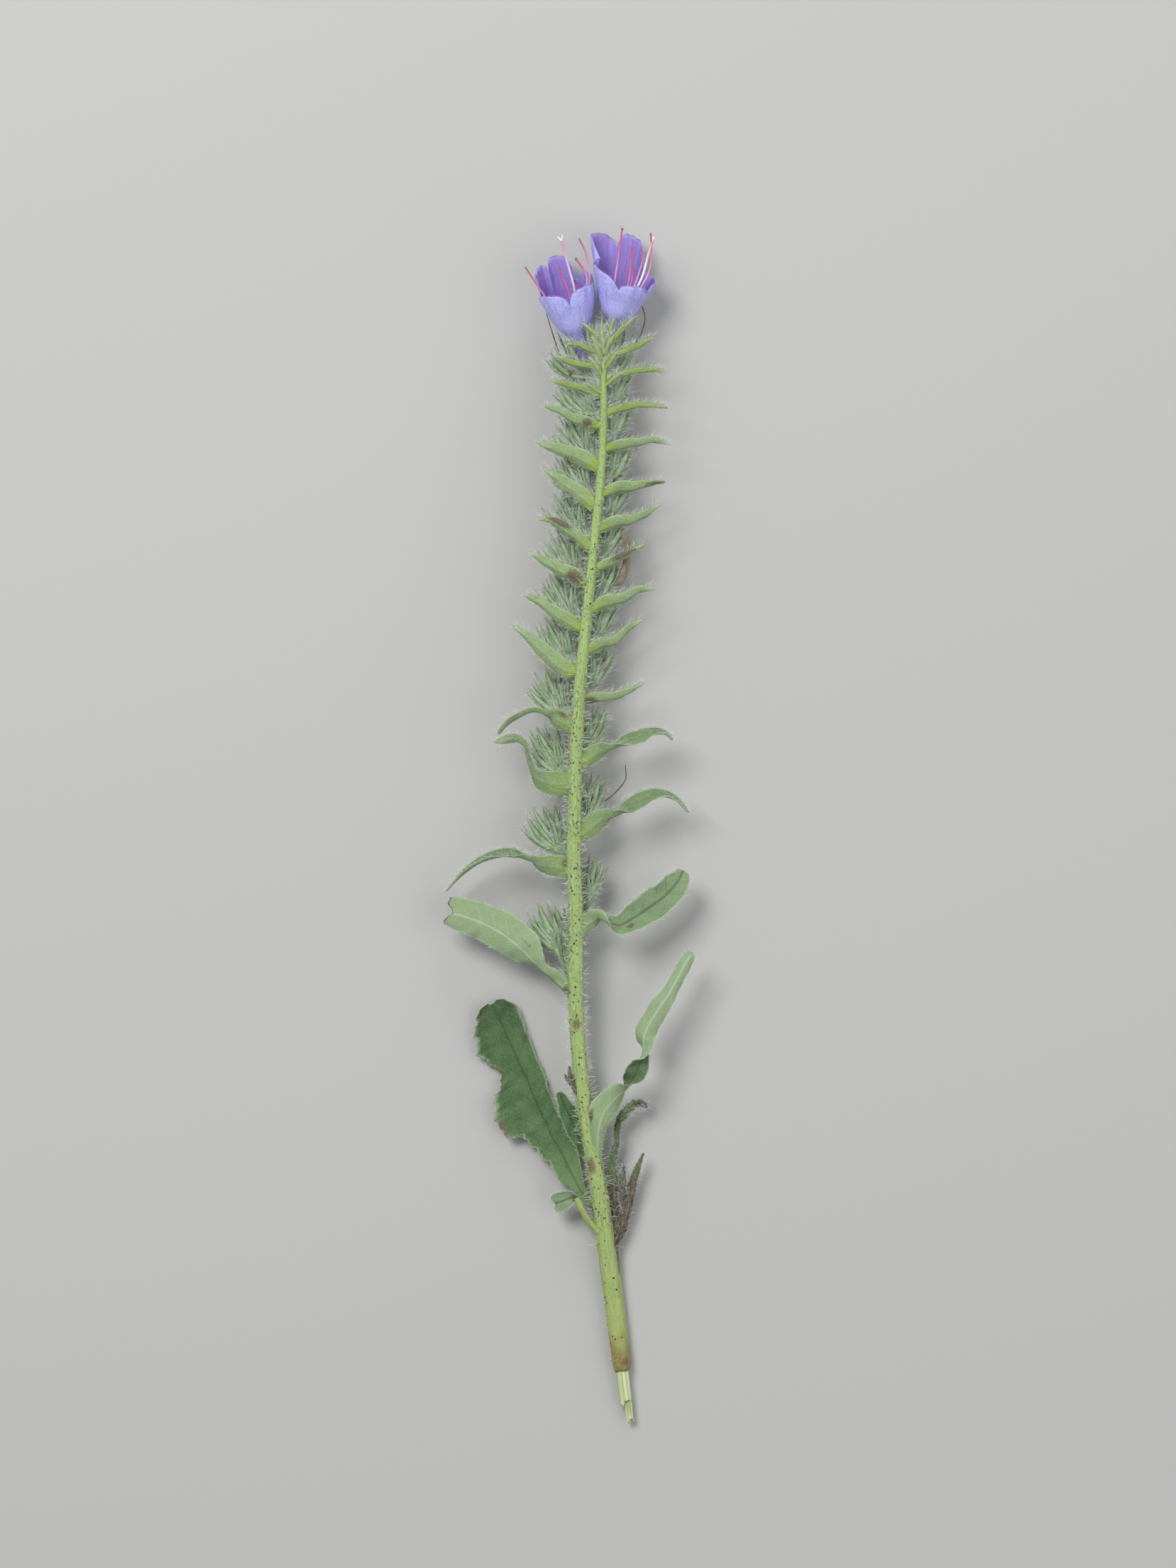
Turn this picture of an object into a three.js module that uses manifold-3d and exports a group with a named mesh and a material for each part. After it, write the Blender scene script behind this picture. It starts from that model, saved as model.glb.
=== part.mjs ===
// A cut flowering stem of viper's bugloss, lying on a flat surface with its two open flowers at +Y.
// Millimetres. +Y runs along the stem towards the flowers, +X to the right and +Z up from the surface.
// The stem rests on its cut end, on one large leaf and on the calyx tips behind it.
import * as THREE from "three";
import { mergeVertices } from "three/addons/utils/BufferGeometryUtils.js";
import Module from "manifold-3d";

const wasm = await Module();
wasm.setup();

// Driving dimensions.
const BLADE = 0.6; // thickness of a leaf, bract or petal
const SEAT = 0.3; // gap between the stem and what is seated on it
const FOLD = 0.22; // how far a blade's halves drop for each millimetre from the midrib
const LOBE_HALF_ANGLE = 25; // half the angle that the root of a calyx lobe takes, in degrees
const FLOWER_LIFT = 4; // how far the open flowers look up, in degrees
const TUBE_RADIUS = 0.6; // of the ring of filaments where they leave the corolla's tube
const FILAMENT = 0.24; // radius of a filament
const ANTHER = 0.36; // radius at its tip
const FILAMENT_SEAT = 0.82; // radius of the ring in the tube that the filaments spring from
const STYLE = 0.2; // radius of the style
const NECK = { inset: 0.25, from: 0.2, to: 0.36 }; // a calyx's own stalk: how deep it starts, its radii
const ROUND_LOBES = 0.62; // the lower this power, the rounder the corolla's lobes
const SEED = 20;

// The stem's centre line and radius, from the cut end up.
const STEM = [
  [8.2, -84.0, 1.28, 1.4],
  [6.95, -74.0, 1.34, 1.48],
  [5.6, -64.0, 2.1, 1.42],
  [4.3, -54.5, 3.1, 1.3],
  [2.75, -45.5, 4.1, 1.18],
  [1.55, -36.0, 5.05, 1.12],
  [1.0, -25.5, 6.0, 1.12],
  [1.1, -15.5, 6.8, 1.08],
  [0.75, -5.5, 7.5, 1.06],
  [0.9, 5.5, 8.1, 1.0],
  [1.25, 15.5, 8.5, 0.95],
  [1.95, 25.0, 8.8, 0.86],
  [2.9, 34.0, 9.0, 0.78],
  [3.8, 43.0, 9.1, 0.74],
  [4.65, 51.5, 9.15, 0.68],
  [5.2, 60.0, 9.15, 0.58],
  [5.25, 67.0, 9.15, 0.5],
  [5.3, 73.6, 9.2, 0.45],
];

const STEM_SIDES = 9;
const STEM_STEPS = 34;

// The wood that the torn bark leaves bare, and the sliver that stands out of it: x, y, z, radius.
const CORE = [[8.23, -84.3, 1.28, 1.0], [8.78, -88.9, 1.28, 0.92]];
const SLIVER = [[8.95, -88.0, 1.28, 0.62], [9.42, -91.6, 1.24, 0.52]];

// The plain bracts down the stem: where each stands, how far it reaches to the side, how high its midrib
// is at each quarter of that, its full width, the roll of its blade in degrees, and how far its tip lifts.
const LEFT_BRACTS = [
  { at: 61.1, reach: 8.7, rise: [0.5, 1.2, 2.5, 3.15], width: 2.3, roll: 34, lift: 0.5 },
  { at: 54.7, reach: 9.5, rise: [1.5, 2.4, 3.2, 4.0], width: 2.8, roll: 24, lift: 0.2 },
  { at: 48.7, reach: 7.9, rise: [1.75, 3.2, 4.6, 6.0], width: 2.8, roll: 20, lift: 0.6 },
  { at: 42.5, reach: 8.0, rise: [1.55, 3.0, 4.15, 4.4], width: 2.4, roll: 34, lift: 0.4 },
  { at: 36.5, reach: 8.7, rise: [1.8, 2.7, 4.0, 5.3], width: 2.6, roll: 26, lift: 0.1 },
  { at: 30.0, reach: 9.0, rise: [1.3, 2.7, 4.4, 5.4], width: 2.6, roll: 24, lift: 0.5 },
  { at: 23.3, reach: 9.9, rise: [1.0, 3.1, 5.4, 7.3], width: 3.0, roll: 18, lift: 0.3 },
];
const RIGHT_BRACTS = [
  { at: 57.6, reach: 9.8, rise: [0.5, 0.85, 1.3, 0.8], width: 2.3, roll: -44, lift: 0.6 },
  { at: 50.8, reach: 9.6, rise: [0.75, 0.95, 1.5, 1.9], width: 2.5, roll: -38, lift: 0.2 },
  { at: 45.3, reach: 9.6, rise: [0.95, 1.3, 2.4, 4.0], width: 2.5, roll: -38, lift: 0.5 },
  { at: 39.2, reach: 7.7, rise: [0.7, 1.65, 2.7, 3.9], width: 2.2, roll: -44, lift: 0.3 },
  { at: 32.9, reach: 9.8, rise: [1.2, 1.7, 3.1, 3.4], width: 2.6, roll: -34, lift: 0.6 },
  { at: 26.5, reach: 8.8, rise: [1.15, 1.6, 3.7, 5.1], width: 2.4, roll: -40, lift: 0.2 },
  { at: 19.1, reach: 9.4, rise: [0.35, 0.5, 1.4, 2.7], width: 2.2, roll: -40, lift: 0.4 },
];

// How wide a plain bract is at its root and at each quarter, beside its full width.
const BRACT_TAPER = [0.55, 1, 0.86, 0.56, 0.14];
const BRACT_ROOT = { out: 0.5, up: 0.1 }; // from the stem's axis
const BRACT_STEPS = 7;

// The small bracts round the growing tip, which are one with the stem: x, y, z and half their width.
const TIP_ROLL = 40; // how far each is turned to face away from the stem, in degrees
const TIP_BRACTS = [
  [[5.1, 65.9, 9.1, 0.5], [2.6, 66.6, 9.3, 0.8], [0.2, 67.3, 9.4, 0.6], [-2.8, 68.1, 9.4, 0.2]],
  [[5.2, 63.1, 9.1, 0.5], [8.2, 63.8, 9.3, 0.8], [11.2, 64.3, 9.5, 0.6], [15.0, 64.0, 9.5, 0.2]],
  [[5.2, 70.2, 9.2, 0.4], [3.2, 70.2, 9.3, 0.7], [0.2, 70.8, 9.5, 0.6], [-2.1, 72.0, 9.5, 0.2]],
  [[5.2, 68.3, 9.2, 0.4], [8.0, 69.0, 9.3, 0.6], [11.7, 69.7, 9.5, 0.55], [14.6, 69.5, 9.5, 0.2]],
  [[5.2, 72.4, 9.2, 0.4], [3.0, 72.8, 9.7, 0.6], [1.2, 73.6, 9.9, 0.5], [-0.4, 73.7, 9.9, 0.2]],
  [[5.3, 71.7, 9.2, 0.4], [8.3, 72.4, 9.6, 0.6], [10.8, 73.5, 9.7, 0.55], [13.0, 74.8, 9.6, 0.2]],
  [[5.2, 73.2, 9.2, 0.4], [4.2, 74.8, 9.8, 0.6], [2.1, 76.9, 10.4, 0.2]],
  [[5.4, 73.2, 9.2, 0.4], [7.3, 74.9, 9.9, 0.6], [9.9, 77.8, 10.0, 0.2]],
  [[5.3, 73.2, 9.2, 0.4], [5.4, 75.0, 9.9, 0.5], [5.5, 76.8, 10.3, 0.2]],
  [[5.4, 73.2, 9.2, 0.4], [6.3, 75.2, 9.7, 0.5], [6.9, 77.8, 10.1, 0.2]],
];

// Leaves and bracts that twist, row by row along the midrib: x, y, z, the width left and right of the
// midrib as seen from its root, and the roll in degrees.
const TWISTED = {
  bract_left_8: [
    [-0.1, 15.3, 8.5, 0.6, 0.6, 0],
    [-1.6, 16.3, 8.7, 1.3, 1.2, 10],
    [-3.3, 17.0, 8.8, 1.0, 0.8, 50],
    [-5.5, 17.5, 8.9, 0.9, 0.8, 66],
    [-8.2, 16.4, 8.9, 0.9, 0.8, 62],
    [-10.0, 15.0, 8.8, 0.6, 0.6, 60],
    [-10.9, 13.9, 8.7, 0.3, 0.3, 60],
  ],
  bract_left_9: [
    [-0.3, 6.3, 8.1, 0.8, 0.7, 0],
    [-2.1, 6.5, 8.3, 1.6, 1.5, 0],
    [-4.2, 7.0, 8.5, 1.5, 1.3, 15],
    [-5.7, 8.3, 8.9, 1.0, 0.8, 50],
    [-6.4, 10.4, 9.6, 0.8, 0.7, 68],
    [-6.9, 12.2, 10.3, 0.8, 0.7, 62],
    [-8.0, 13.2, 10.9, 0.8, 0.8, 30],
    [-9.6, 13.2, 10.9, 0.7, 0.7, 10],
    [-11.4, 12.7, 10.6, 0.2, 0.2, 0],
  ],
  bract_left_10: [
    [-0.5, -6.5, 7.4, 0.8, 0.8, 0],
    [-2.0, -6.2, 7.6, 1.5, 1.5, 6],
    [-3.9, -6.0, 7.7, 1.5, 1.4, 20],
    [-5.9, -5.3, 7.8, 1.1, 0.9, 62],
    [-8.1, -4.7, 7.9, 1.3, 1.2, 118],
    [-10.5, -4.6, 7.8, 1.3, 1.2, 122],
    [-13.3, -5.5, 7.4, 1.1, 1.0, 112],
    [-16.0, -7.2, 6.8, 0.8, 0.7, 100],
    [-18.9, -10.1, 6.2, 0.25, 0.25, 96],
  ],
  bract_right_8: [
    [2.2, 9.8, 8.3, 0.7, 0.7, 0],
    [3.5, 10.8, 8.5, 1.2, 1.2, -6],
    [5.0, 11.5, 8.6, 1.1, 1.1, -25],
    [6.7, 11.9, 8.6, 1.0, 1.0, -78],
    [8.7, 12.7, 8.5, 1.5, 1.4, -138],
    [10.9, 13.5, 8.4, 1.4, 1.3, -146],
    [12.9, 14.2, 8.3, 1.0, 1.0, -134],
    [14.6, 14.1, 8.2, 0.6, 0.6, -126],
    [15.9, 13.1, 8.0, 0.25, 0.25, -120],
  ],
  bract_right_9: [
    [2.1, -1.5, 7.7, 0.8, 0.8, 0],
    [3.4, 0.3, 7.9, 1.3, 1.3, -4],
    [5.2, 1.2, 8.0, 1.4, 1.4, -20],
    [7.2, 1.6, 8.1, 1.2, 1.2, -72],
    [9.1, 2.5, 8.0, 1.7, 1.6, -138],
    [11.1, 3.8, 7.9, 1.6, 1.5, -148],
    [13.2, 4.7, 7.7, 1.2, 1.1, -140],
    [15.8, 4.3, 7.4, 0.7, 0.7, -130],
    [18.4, 2.0, 7.0, 0.25, 0.25, -124],
  ],
  leaf_left: [
    [-0.4, -25.3, 6.0, 0.8, 0.8, 20],
    [-2.1, -23.5, 6.3, 1.4, 1.3, 46],
    [-4.2, -21.8, 6.6, 1.8, 1.1, 48],
    [-6.3, -19.8, 6.8, 2.4, 2.8, 26],
    [-8.5, -17.9, 6.9, 2.9, 3.5, 6],
    [-10.7, -16.3, 6.8, 3.0, 3.4, 2],
    [-13.4, -14.9, 6.5, 3.0, 3.2, 0],
    [-16.3, -14.0, 6.1, 2.6, 2.9, -4],
    [-19.0, -13.2, 5.6, 1.7, 1.9, -6],
  ],
  leaf_right: [
    [2.3, -15.7, 6.9, 0.8, 0.8, 0],
    [3.5, -14.4, 7.6, 1.1, 1.1, -20],
    [4.6, -14.1, 8.1, 1.1, 1.1, -60],
    [5.9, -14.9, 8.1, 1.1, 1.1, -118],
    [7.8, -15.5, 7.7, 1.6, 1.5, -158],
    [10.2, -14.0, 7.2, 2.3, 2.2, -172],
    [12.4, -12.5, 6.9, 2.5, 2.5, -178],
    [14.6, -10.9, 6.6, 2.4, 2.4, -180],
    [16.6, -8.7, 6.2, 2.0, 2.0, -180],
    [17.5, -6.9, 6.0, 0.8, 0.8, -180],
  ],
  leaf_lower_right: [
    [4.4, -50.4, 3.8, 0.6, 0.6, 0],
    [4.7, -46.6, 4.6, 1.3, 1.3, 0],
    [5.6, -43.4, 5.2, 2.2, 2.2, -6],
    [7.4, -41.4, 5.8, 1.9, 2.0, -34],
    [9.0, -40.1, 6.3, 1.6, 1.6, -95],
    [10.0, -38.5, 6.6, 1.8, 1.8, -160],
    [10.7, -36.8, 7.0, 1.6, 1.5, -190],
    [11.3, -35.3, 7.3, 1.2, 1.2, -250],
    [11.5, -33.6, 7.5, 1.4, 1.4, -320],
    [11.7, -31.6, 7.7, 1.75, 1.75, -350],
    [13.6, -28.2, 7.8, 1.6, 1.6, -360],
    [15.6, -25.2, 7.8, 1.2, 1.2, -360],
    [17.9, -20.9, 7.5, 1.05, 1.05, -360],
    [18.9, -19.5, 7.3, 0.5, 0.5, -360],
  ],
  leaf_lower_left: [
    [3.6, -58.6, 2.3, 0.5, 0.5, 180],
    [1.9, -56.4, 2.05, 0.7, 0.7, 180],
    [0.2, -53.3, 1.7, 1.9, 2.1, 180],
    [-1.4, -50.0, 1.4, 2.8, 2.9, 180],
    [-2.6, -48.0, 1.15, 2.7, 3.5, 180],
    [-3.4, -46.1, 0.95, 2.6, 4.6, 180],
    [-4.1, -44.8, 0.82, 2.6, 6.6, 180],
    [-5.1, -42.5, 0.65, 2.6, 7.0, 180],
    [-5.9, -40.7, 0.52, 2.8, 6.2, 180],
    [-6.6, -38.9, 0.42, 2.9, 4.6, 180],
    [-7.5, -37.1, 0.32, 3.0, 3.5, 180],
    [-8.5, -34.8, 0.24, 3.1, 4.5, 180],
    [-9.3, -33.1, 0.3, 3.2, 5.4, 180],
    [-10.3, -30.9, 0.55, 3.4, 4.7, 180],
    [-11.2, -28.9, 0.9, 3.3, 3.7, 180],
    [-12.0, -27.1, 1.3, 1.9, 1.9, 180],
  ],
  leaf_behind: [
    [4.0, -52.4, 2.4, 0.6, 0.6, 180],
    [2.2, -49.4, 2.6, 1.2, 1.2, 180],
    [0.8, -46.4, 2.9, 1.5, 1.5, 180],
    [-0.5, -43.4, 3.2, 1.3, 1.3, 180],
    [-1.6, -41.0, 3.3, 0.3, 0.3, 180],
  ],
};

// A short leaf stalk from the stem and what is left of its blade.
const STUB = [[4.6, -62.6, 2.6, 0.6], [2.6, -60.2, 3.3, 0.5], [1.0, -57.3, 3.8, 0.4]];
const STUB_BLADE = [
  [1.3, -57.2, 3.8, 0.5, 0.5, 180],
  [0.1, -57.3, 3.8, 1.3, 1.3, 180],
  [-1.0, -57.7, 3.7, 1.6, 1.7, 180],
  [-1.9, -58.0, 3.6, 1.5, 1.6, 180],
  [-2.5, -58.2, 3.5, 1.0, 1.1, 180],
];

// The withered side shoot behind the stem's right edge, branch by branch: x, y, z, radius.
const SHOOT = [
  [
    [6.4, -66.0, 1.9, 0.5],
    [8.0, -62.1, 1.9, 0.7],
    [9.1, -58.0, 2.1, 0.72],
    [10.0, -54.0, 2.5, 0.55],
    [11.4, -50.4, 3.0, 0.16],
  ],
  [
    [8.6, -59.6, 2.0, 0.4],
    [8.2, -57.0, 2.3, 0.42],
    [8.25, -54.9, 2.6, 0.42],
    [8.4, -52.3, 3.0, 0.14],
  ],
  [
    [7.8, -62.4, 1.9, 0.5],
    [6.9, -58.6, 1.8, 0.6],
    [6.8, -54.9, 2.1, 0.6],
    [6.6, -52.0, 2.4, 0.5],
    [7.3, -48.5, 2.8, 0.4],
  ],
  [
    [7.2, -49.2, 2.75, 0.36],
    [7.5, -46.0, 3.0, 0.45],
    [8.6, -44.2, 3.2, 0.66],
    [10.1, -42.3, 3.4, 0.3],
  ],
  [
    [8.5, -44.4, 3.2, 0.4],
    [10.6, -42.7, 2.9, 0.42],
    [12.0, -43.2, 2.6, 0.3],
  ],
];

// A dead corolla that still hangs among the calyces: x, y, z, radius.
const DEAD_COROLLA = [
  [8.6, 45.3, 7.3, 0.35],
  [9.0, 43.6, 7.5, 0.6],
  [9.0, 41.0, 7.5, 0.75],
  [8.6, 38.6, 7.3, 0.7],
  [8.2, 36.9, 7.1, 0.3],
];

// Each cyme's calyces, by their turn about the stem from straight behind, their foot (out from the stem's
// axis, up from the bract) and their tip (out, up). They spread wide on the left and hug the stem on the
// right.
const CALYXES = {
  left: [
    { turn: 12, out: 4.2, up: 2.7, tipOut: 8.6, tipUp: 7.2 },
    { turn: 33, out: 3.9, up: 3.3, tipOut: 8.8, tipUp: 8.1 },
    { turn: 51, out: 3.4, up: 2.9, tipOut: 8.7, tipUp: 7.6 },
    { turn: 71, out: 3.2, up: 1.9, tipOut: 9.3, tipUp: 4.9 },
  ],
  right: [
    { turn: 15, out: 4.3, up: 2.8, tipOut: 8.8, tipUp: 7.2 },
    { turn: 33, out: 3.6, up: 3.4, tipOut: 7.2, tipUp: 8.0 },
    { turn: 52, out: 2.9, up: 2.6, tipOut: 5.5, tipUp: 7.0 },
  ],
};
const WANDER = { turn: 2, foot: 0.15, tip: 0.3 }; // how far a calyx may stray from its place
const SHORT_LOBE = 0.93; // length of every other lobe of a calyx beside the rest
const NOTCH_DIP = 0.04; // how far the cup dips between two lobes, in its length

// A cyme's own stalk: its turn, how far above the bract it leaves the stem and ends, how deep it is sunk in
// the stem, how far it stands out, its two radii, and where along it the calyces fork.
const RACHIS = { turn: 35, from: 0.9, to: 2.1, sunk: 0.2, out: 1.3, thin: 0.36, thick: 0.5, fork: 0.85 };

// Where each cyme stands on the stem.
const CYMES = {
  left: [61.1, 54.7, 48.7, 42.5, 36.5, 30.0, 23.3, 15.3, 6.3, -6.5, -25.0],
  right: [63.1, 57.6, 50.8, 45.3, 39.2, 32.9, 26.5, 19.1, 9.8, -1.5, -15.7],
};
const LONGER_STALKS = { cyme_left_10: 0.8, cyme_left_11: 4.2, cyme_right_10: 0.5, cyme_right_11: 2.4 };
const TOP_CYME = 0.92; // size of the uppermost cymes beside the others
const SHORTEST_CALYX = 2.5; // across the stem
const SUPPORTS = ["cyme_left_5", "cyme_right_6", "cyme_left_6", "cyme_right_7"]; // they touch the surface
const CLEAR_OF_GROUND = 0.3; // under what doesn't touch the surface
const LOBES = { cup: 0.78, throat: 0.2, spread: 1.2, waist: 0.34 };

// The open flowers: the foot of the corolla's tube, its lean to the left, and the rim's lobes and notches
// as seen down the tube: the angle from the near side, how far out and how high they are.
// The filaments and the style follow, from their angle in the tube to their tips.
const FLOWERS = {
  left: {
    base: [2.3, 71.5, 6.8],
    lean: 15,
    lobes: [[38, 4.7, 10.9], [108, 4.4, 12.7], [180, 4.0, 16.4], [238, 3.9, 15.3], [315, 4.7, 10.9]],
    notches: [[0, 4.0, 8.4], [76, 4.2, 9.2], [146, 3.7, 11.6], [212, 3.5, 13.0], [280, 4.2, 9.6]],
    filaments: [
      [270, [-3.8, 81.2, 8.2], [-6.6, 85.3, 9.0]],
      [10, [0.14, 80.9, 9.6], [-1.5, 85.1, 10.6]],
      [55, [2.7, 82.8, 9.4], [2.3, 84.9, 9.8], [1.1, 86.6, 10.4]],
      [110, [3.05, 82.8, 8.4], [2.9, 85.7, 8.6], [2.5, 87.8, 9.0], [1.5, 89.9, 9.4]],
      [170, [1.3, 82.2, 6.9], [0.9, 83.45, 7.1]],
    ],
    style: [[0.87, 81.6, 8.0], [0.03, 85.1, 8.6], [-1.2, 89.5, 9.4]],
    fork: [[-1.9, 90.2, 9.4], [-0.9, 90.6, 9.6]],
    stalkFrom: 66.4,
    bud: [[0.2, 69.0, 6.9], [-3.7, 71.2, 6.7]],
  },
  right: {
    base: [6.85, 73.4, 6.5],
    lean: -8,
    lobes: [[26, 4.5, 9.7], [95, 5.0, 11.0], [166, 3.9, 17.0], [243, 6.1, 16.7], [292, 5.1, 12.1]],
    notches: [[-6, 4.0, 8.6], [60, 4.3, 8.6], [126, 3.8, 11.6], [204, 3.9, 14.5], [272, 4.1, 12.2]],
    filaments: [
      [280, [6.9, 82.6, 9.4], [7.5, 86.8, 10.0], [8.1, 91.15, 10.4]],
      [340, [9.0, 82.8, 9.2], [9.6, 88.45, 9.8]],
      [90, [10.0, 82.6, 8.4], [11.3, 86.8, 9.0], [11.0, 88.45, 9.2]],
      [125, [10.85, 82.2, 7.4], [12.3, 85.1, 7.7], [12.6, 88.0, 7.9], [12.5, 90.5, 8.3]],
      [180, [9.4, 82.8, 7.2], [9.8, 85.5, 7.4]],
    ],
    style: [[10.3, 82.2, 9.6], [11.4, 84.7, 9.9], [12.1, 87.4, 10.1], [12.8, 89.5, 10.3]],
    fork: [[12.9, 90.3, 10.5], [13.2, 90.1, 10.2]],
    stalkFrom: 69.4,
    bud: [[7.75, 69.9, 7.1], [9.3, 73.2, 6.2]],
  },
};
// The corolla's outside from its foot to the throat: how far out, how high.
const TUBE = [[0, 0], [1.45, 0.2], [1.6, 3.2], [2.5, 5.0], [3.3, 7.0]];
const FULLNESS = 0.15; // how far the funnel bulges between throat and rim
const COROLLA_COLUMNS = 30;
// Heights in the tube of the ring that the filaments spring from, of the filaments and of the style.
const IN_TUBE = { seat: [0.6, 1.3], filament: [1.0, 2.6, 4.2], style: [1.45, 3.0, 4.6] };
const FLOWER_CALYX = { foot: -2.2, tip: 5.0, lobes: { cup: 2.05, throat: 1.5, spread: 3.0, waist: 0.24 } };

const material = (color, roughness = 0.7) =>
  new THREE.MeshStandardMaterial({ color, roughness, metalness: 0 });
const STEM_GREEN = material("#8fa863");
const CORE_GREEN = material("#c2cc93");
const BRACT_GREEN = material("#6f8f4c");
const LEAF_GREEN = material("#66825a");
const CALYX_GREEN = material("#5c7a55");
const PETAL_VIOLET = material("#7a70c4", 0.6);
const FILAMENT_PINK = material("#c4517c", 0.5);
const STYLE_PALE = material("#cbbfd6", 0.5);
const WITHERED = material("#7d6a4d", 0.9);

const plant = new THREE.Group();

// Numbers in (0, 1) that come out the same each time.
let state = SEED;
const random = () => {
  state = (state * 1664525 + 1013904223) % 4294967296;
  return state / 4294967296;
};
const jitter = (amount) => amount * (2 * random() - 1);
const radians = THREE.MathUtils.degToRad;
const vector = (row) => new THREE.Vector3(row[0], row[1], row[2]);
const smooth = (points) => new THREE.CatmullRomCurve3(points, false, "catmullrom", 0.5);

function solidOf(geometry) {
  const bare = geometry.clone();
  for (const name of Object.keys(bare.attributes)) {
    if (name !== "position") bare.deleteAttribute(name);
  }
  const merged = mergeVertices(bare, 1e-4);
  return new wasm.Manifold(
    new wasm.Mesh({
      numProp: 3,
      vertProperties: merged.attributes.position.array,
      triVerts: new Uint32Array(merged.index.array),
    }),
  );
}

function add(name, solid, look) {
  const mesh = solid.getMesh();
  const geometry = new THREE.BufferGeometry();
  geometry.setAttribute("position", new THREE.BufferAttribute(mesh.vertProperties, 3));
  geometry.setIndex(new THREE.BufferAttribute(mesh.triVerts, 1));
  geometry.computeVertexNormals();
  const made = new THREE.Mesh(geometry, look);
  made.name = name;
  plant.add(made);
}

const join = (solids) => solids.reduce((all, solid) => all.add(solid));

// What would sink below the surface is pressed flat against it.
const BELOW = solidOf(new THREE.BoxGeometry(400, 400, 10).translate(0, 0, -5));
const pressed = (solid) => solid.subtract(BELOW);

// Moves each vertex of a geometry to where place(x, y, z) says.
function shaped(geometry, place) {
  const position = geometry.attributes.position;
  for (let i = 0; i < position.count; i++) {
    const p = place(position.getX(i), position.getY(i), position.getZ(i));
    position.setXYZ(i, p.x, p.y, p.z);
  }
  return geometry;
}

// A round stalk along rows of [x, y, z, radius].
function stalk(rows, sides, steps) {
  const line = smooth(rows.map(vector));
  const sizes = smooth(rows.map((row) => new THREE.Vector3(row[3], 0, 0)));
  const along = vector(rows[rows.length - 1]).sub(vector(rows[0])).normalize();
  const aside = Math.abs(along.z) < 0.7 ? new THREE.Vector3(0, 0, 1) : new THREE.Vector3(1, 0, 0);
  return solidOf(
    shaped(new THREE.CylinderGeometry(1, 1, 1, sides, steps), (x, y, z) => {
      const t = THREE.MathUtils.clamp(y + 0.5, 0, 1);
      const tangent = line.getTangent(t);
      const u = new THREE.Vector3().crossVectors(tangent, aside).normalize();
      const v = new THREE.Vector3().crossVectors(tangent, u);
      const radius = sizes.getPoint(t).x;
      return line.getPoint(t).addScaledVector(u, x * radius).addScaledVector(v, -z * radius);
    }),
  );
}

// A blade along rows of [x, y, z, left, right, roll]: two like-split sheets and the rim between them.
function blade(rows, steps, across) {
  const line = smooth(rows.map(vector));
  const form = smooth(rows.map((row) => new THREE.Vector3(row[3], row[4], row[5])));
  const up = new THREE.Vector3(0, 0, 1);
  const sheet = new THREE.PlaneGeometry(1, 1, across, steps);
  const columns = across + 1;
  const count = columns * (steps + 1);
  const points = new Float32Array(count * 6);
  for (let i = 0; i < count; i++) {
    const t = Math.floor(i / columns) / steps;
    const side = (2 * (i % columns)) / across - 1;
    const { x: left, y: right, z: roll } = form.getPoint(t);
    const tangent = line.getTangent(t);
    const flat = new THREE.Vector3().crossVectors(tangent, up).normalize();
    const face = new THREE.Vector3().crossVectors(flat, tangent).normalize();
    const turn = radians(roll);
    const width = flat.clone().multiplyScalar(Math.cos(turn)).addScaledVector(face, Math.sin(turn));
    const normal = face.multiplyScalar(Math.cos(turn)).addScaledVector(flat, -Math.sin(turn));
    const out = side * (side < 0 ? left : right);
    const middle = line.getPoint(t).addScaledVector(width, out);
    middle.addScaledVector(normal, -FOLD * Math.abs(out));
    middle.clone().addScaledVector(normal, BLADE / 2).toArray(points, 3 * i);
    middle.addScaledVector(normal, -BLADE / 2).toArray(points, 3 * (count + i));
  }
  const faces = [];
  const top = sheet.index.array;
  for (let i = 0; i < top.length; i += 3) {
    faces.push(top[i], top[i + 2], top[i + 1]);
    faces.push(count + top[i], count + top[i + 1], count + top[i + 2]);
  }
  const rim = [];
  for (let j = 0; j < across; j++) rim.push(j);
  for (let i = 0; i < steps; i++) rim.push(i * columns + across);
  for (let j = across; j > 0; j--) rim.push(steps * columns + j);
  for (let i = steps; i > 0; i--) rim.push(i * columns);
  rim.forEach((a, i) => {
    const b = rim[(i + 1) % rim.length];
    faces.push(b, a, count + a, b, count + a, count + b);
  });
  const geometry = new THREE.BufferGeometry();
  geometry.setAttribute("position", new THREE.BufferAttribute(points, 3));
  geometry.setIndex(faces);
  const solid = solidOf(geometry);
  if (solid.volume() > 0) return solid;
  for (let i = 0; i < faces.length; i += 3) [faces[i], faces[i + 1]] = [faces[i + 1], faces[i]];
  geometry.setIndex(faces);
  return solidOf(geometry);
}

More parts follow.
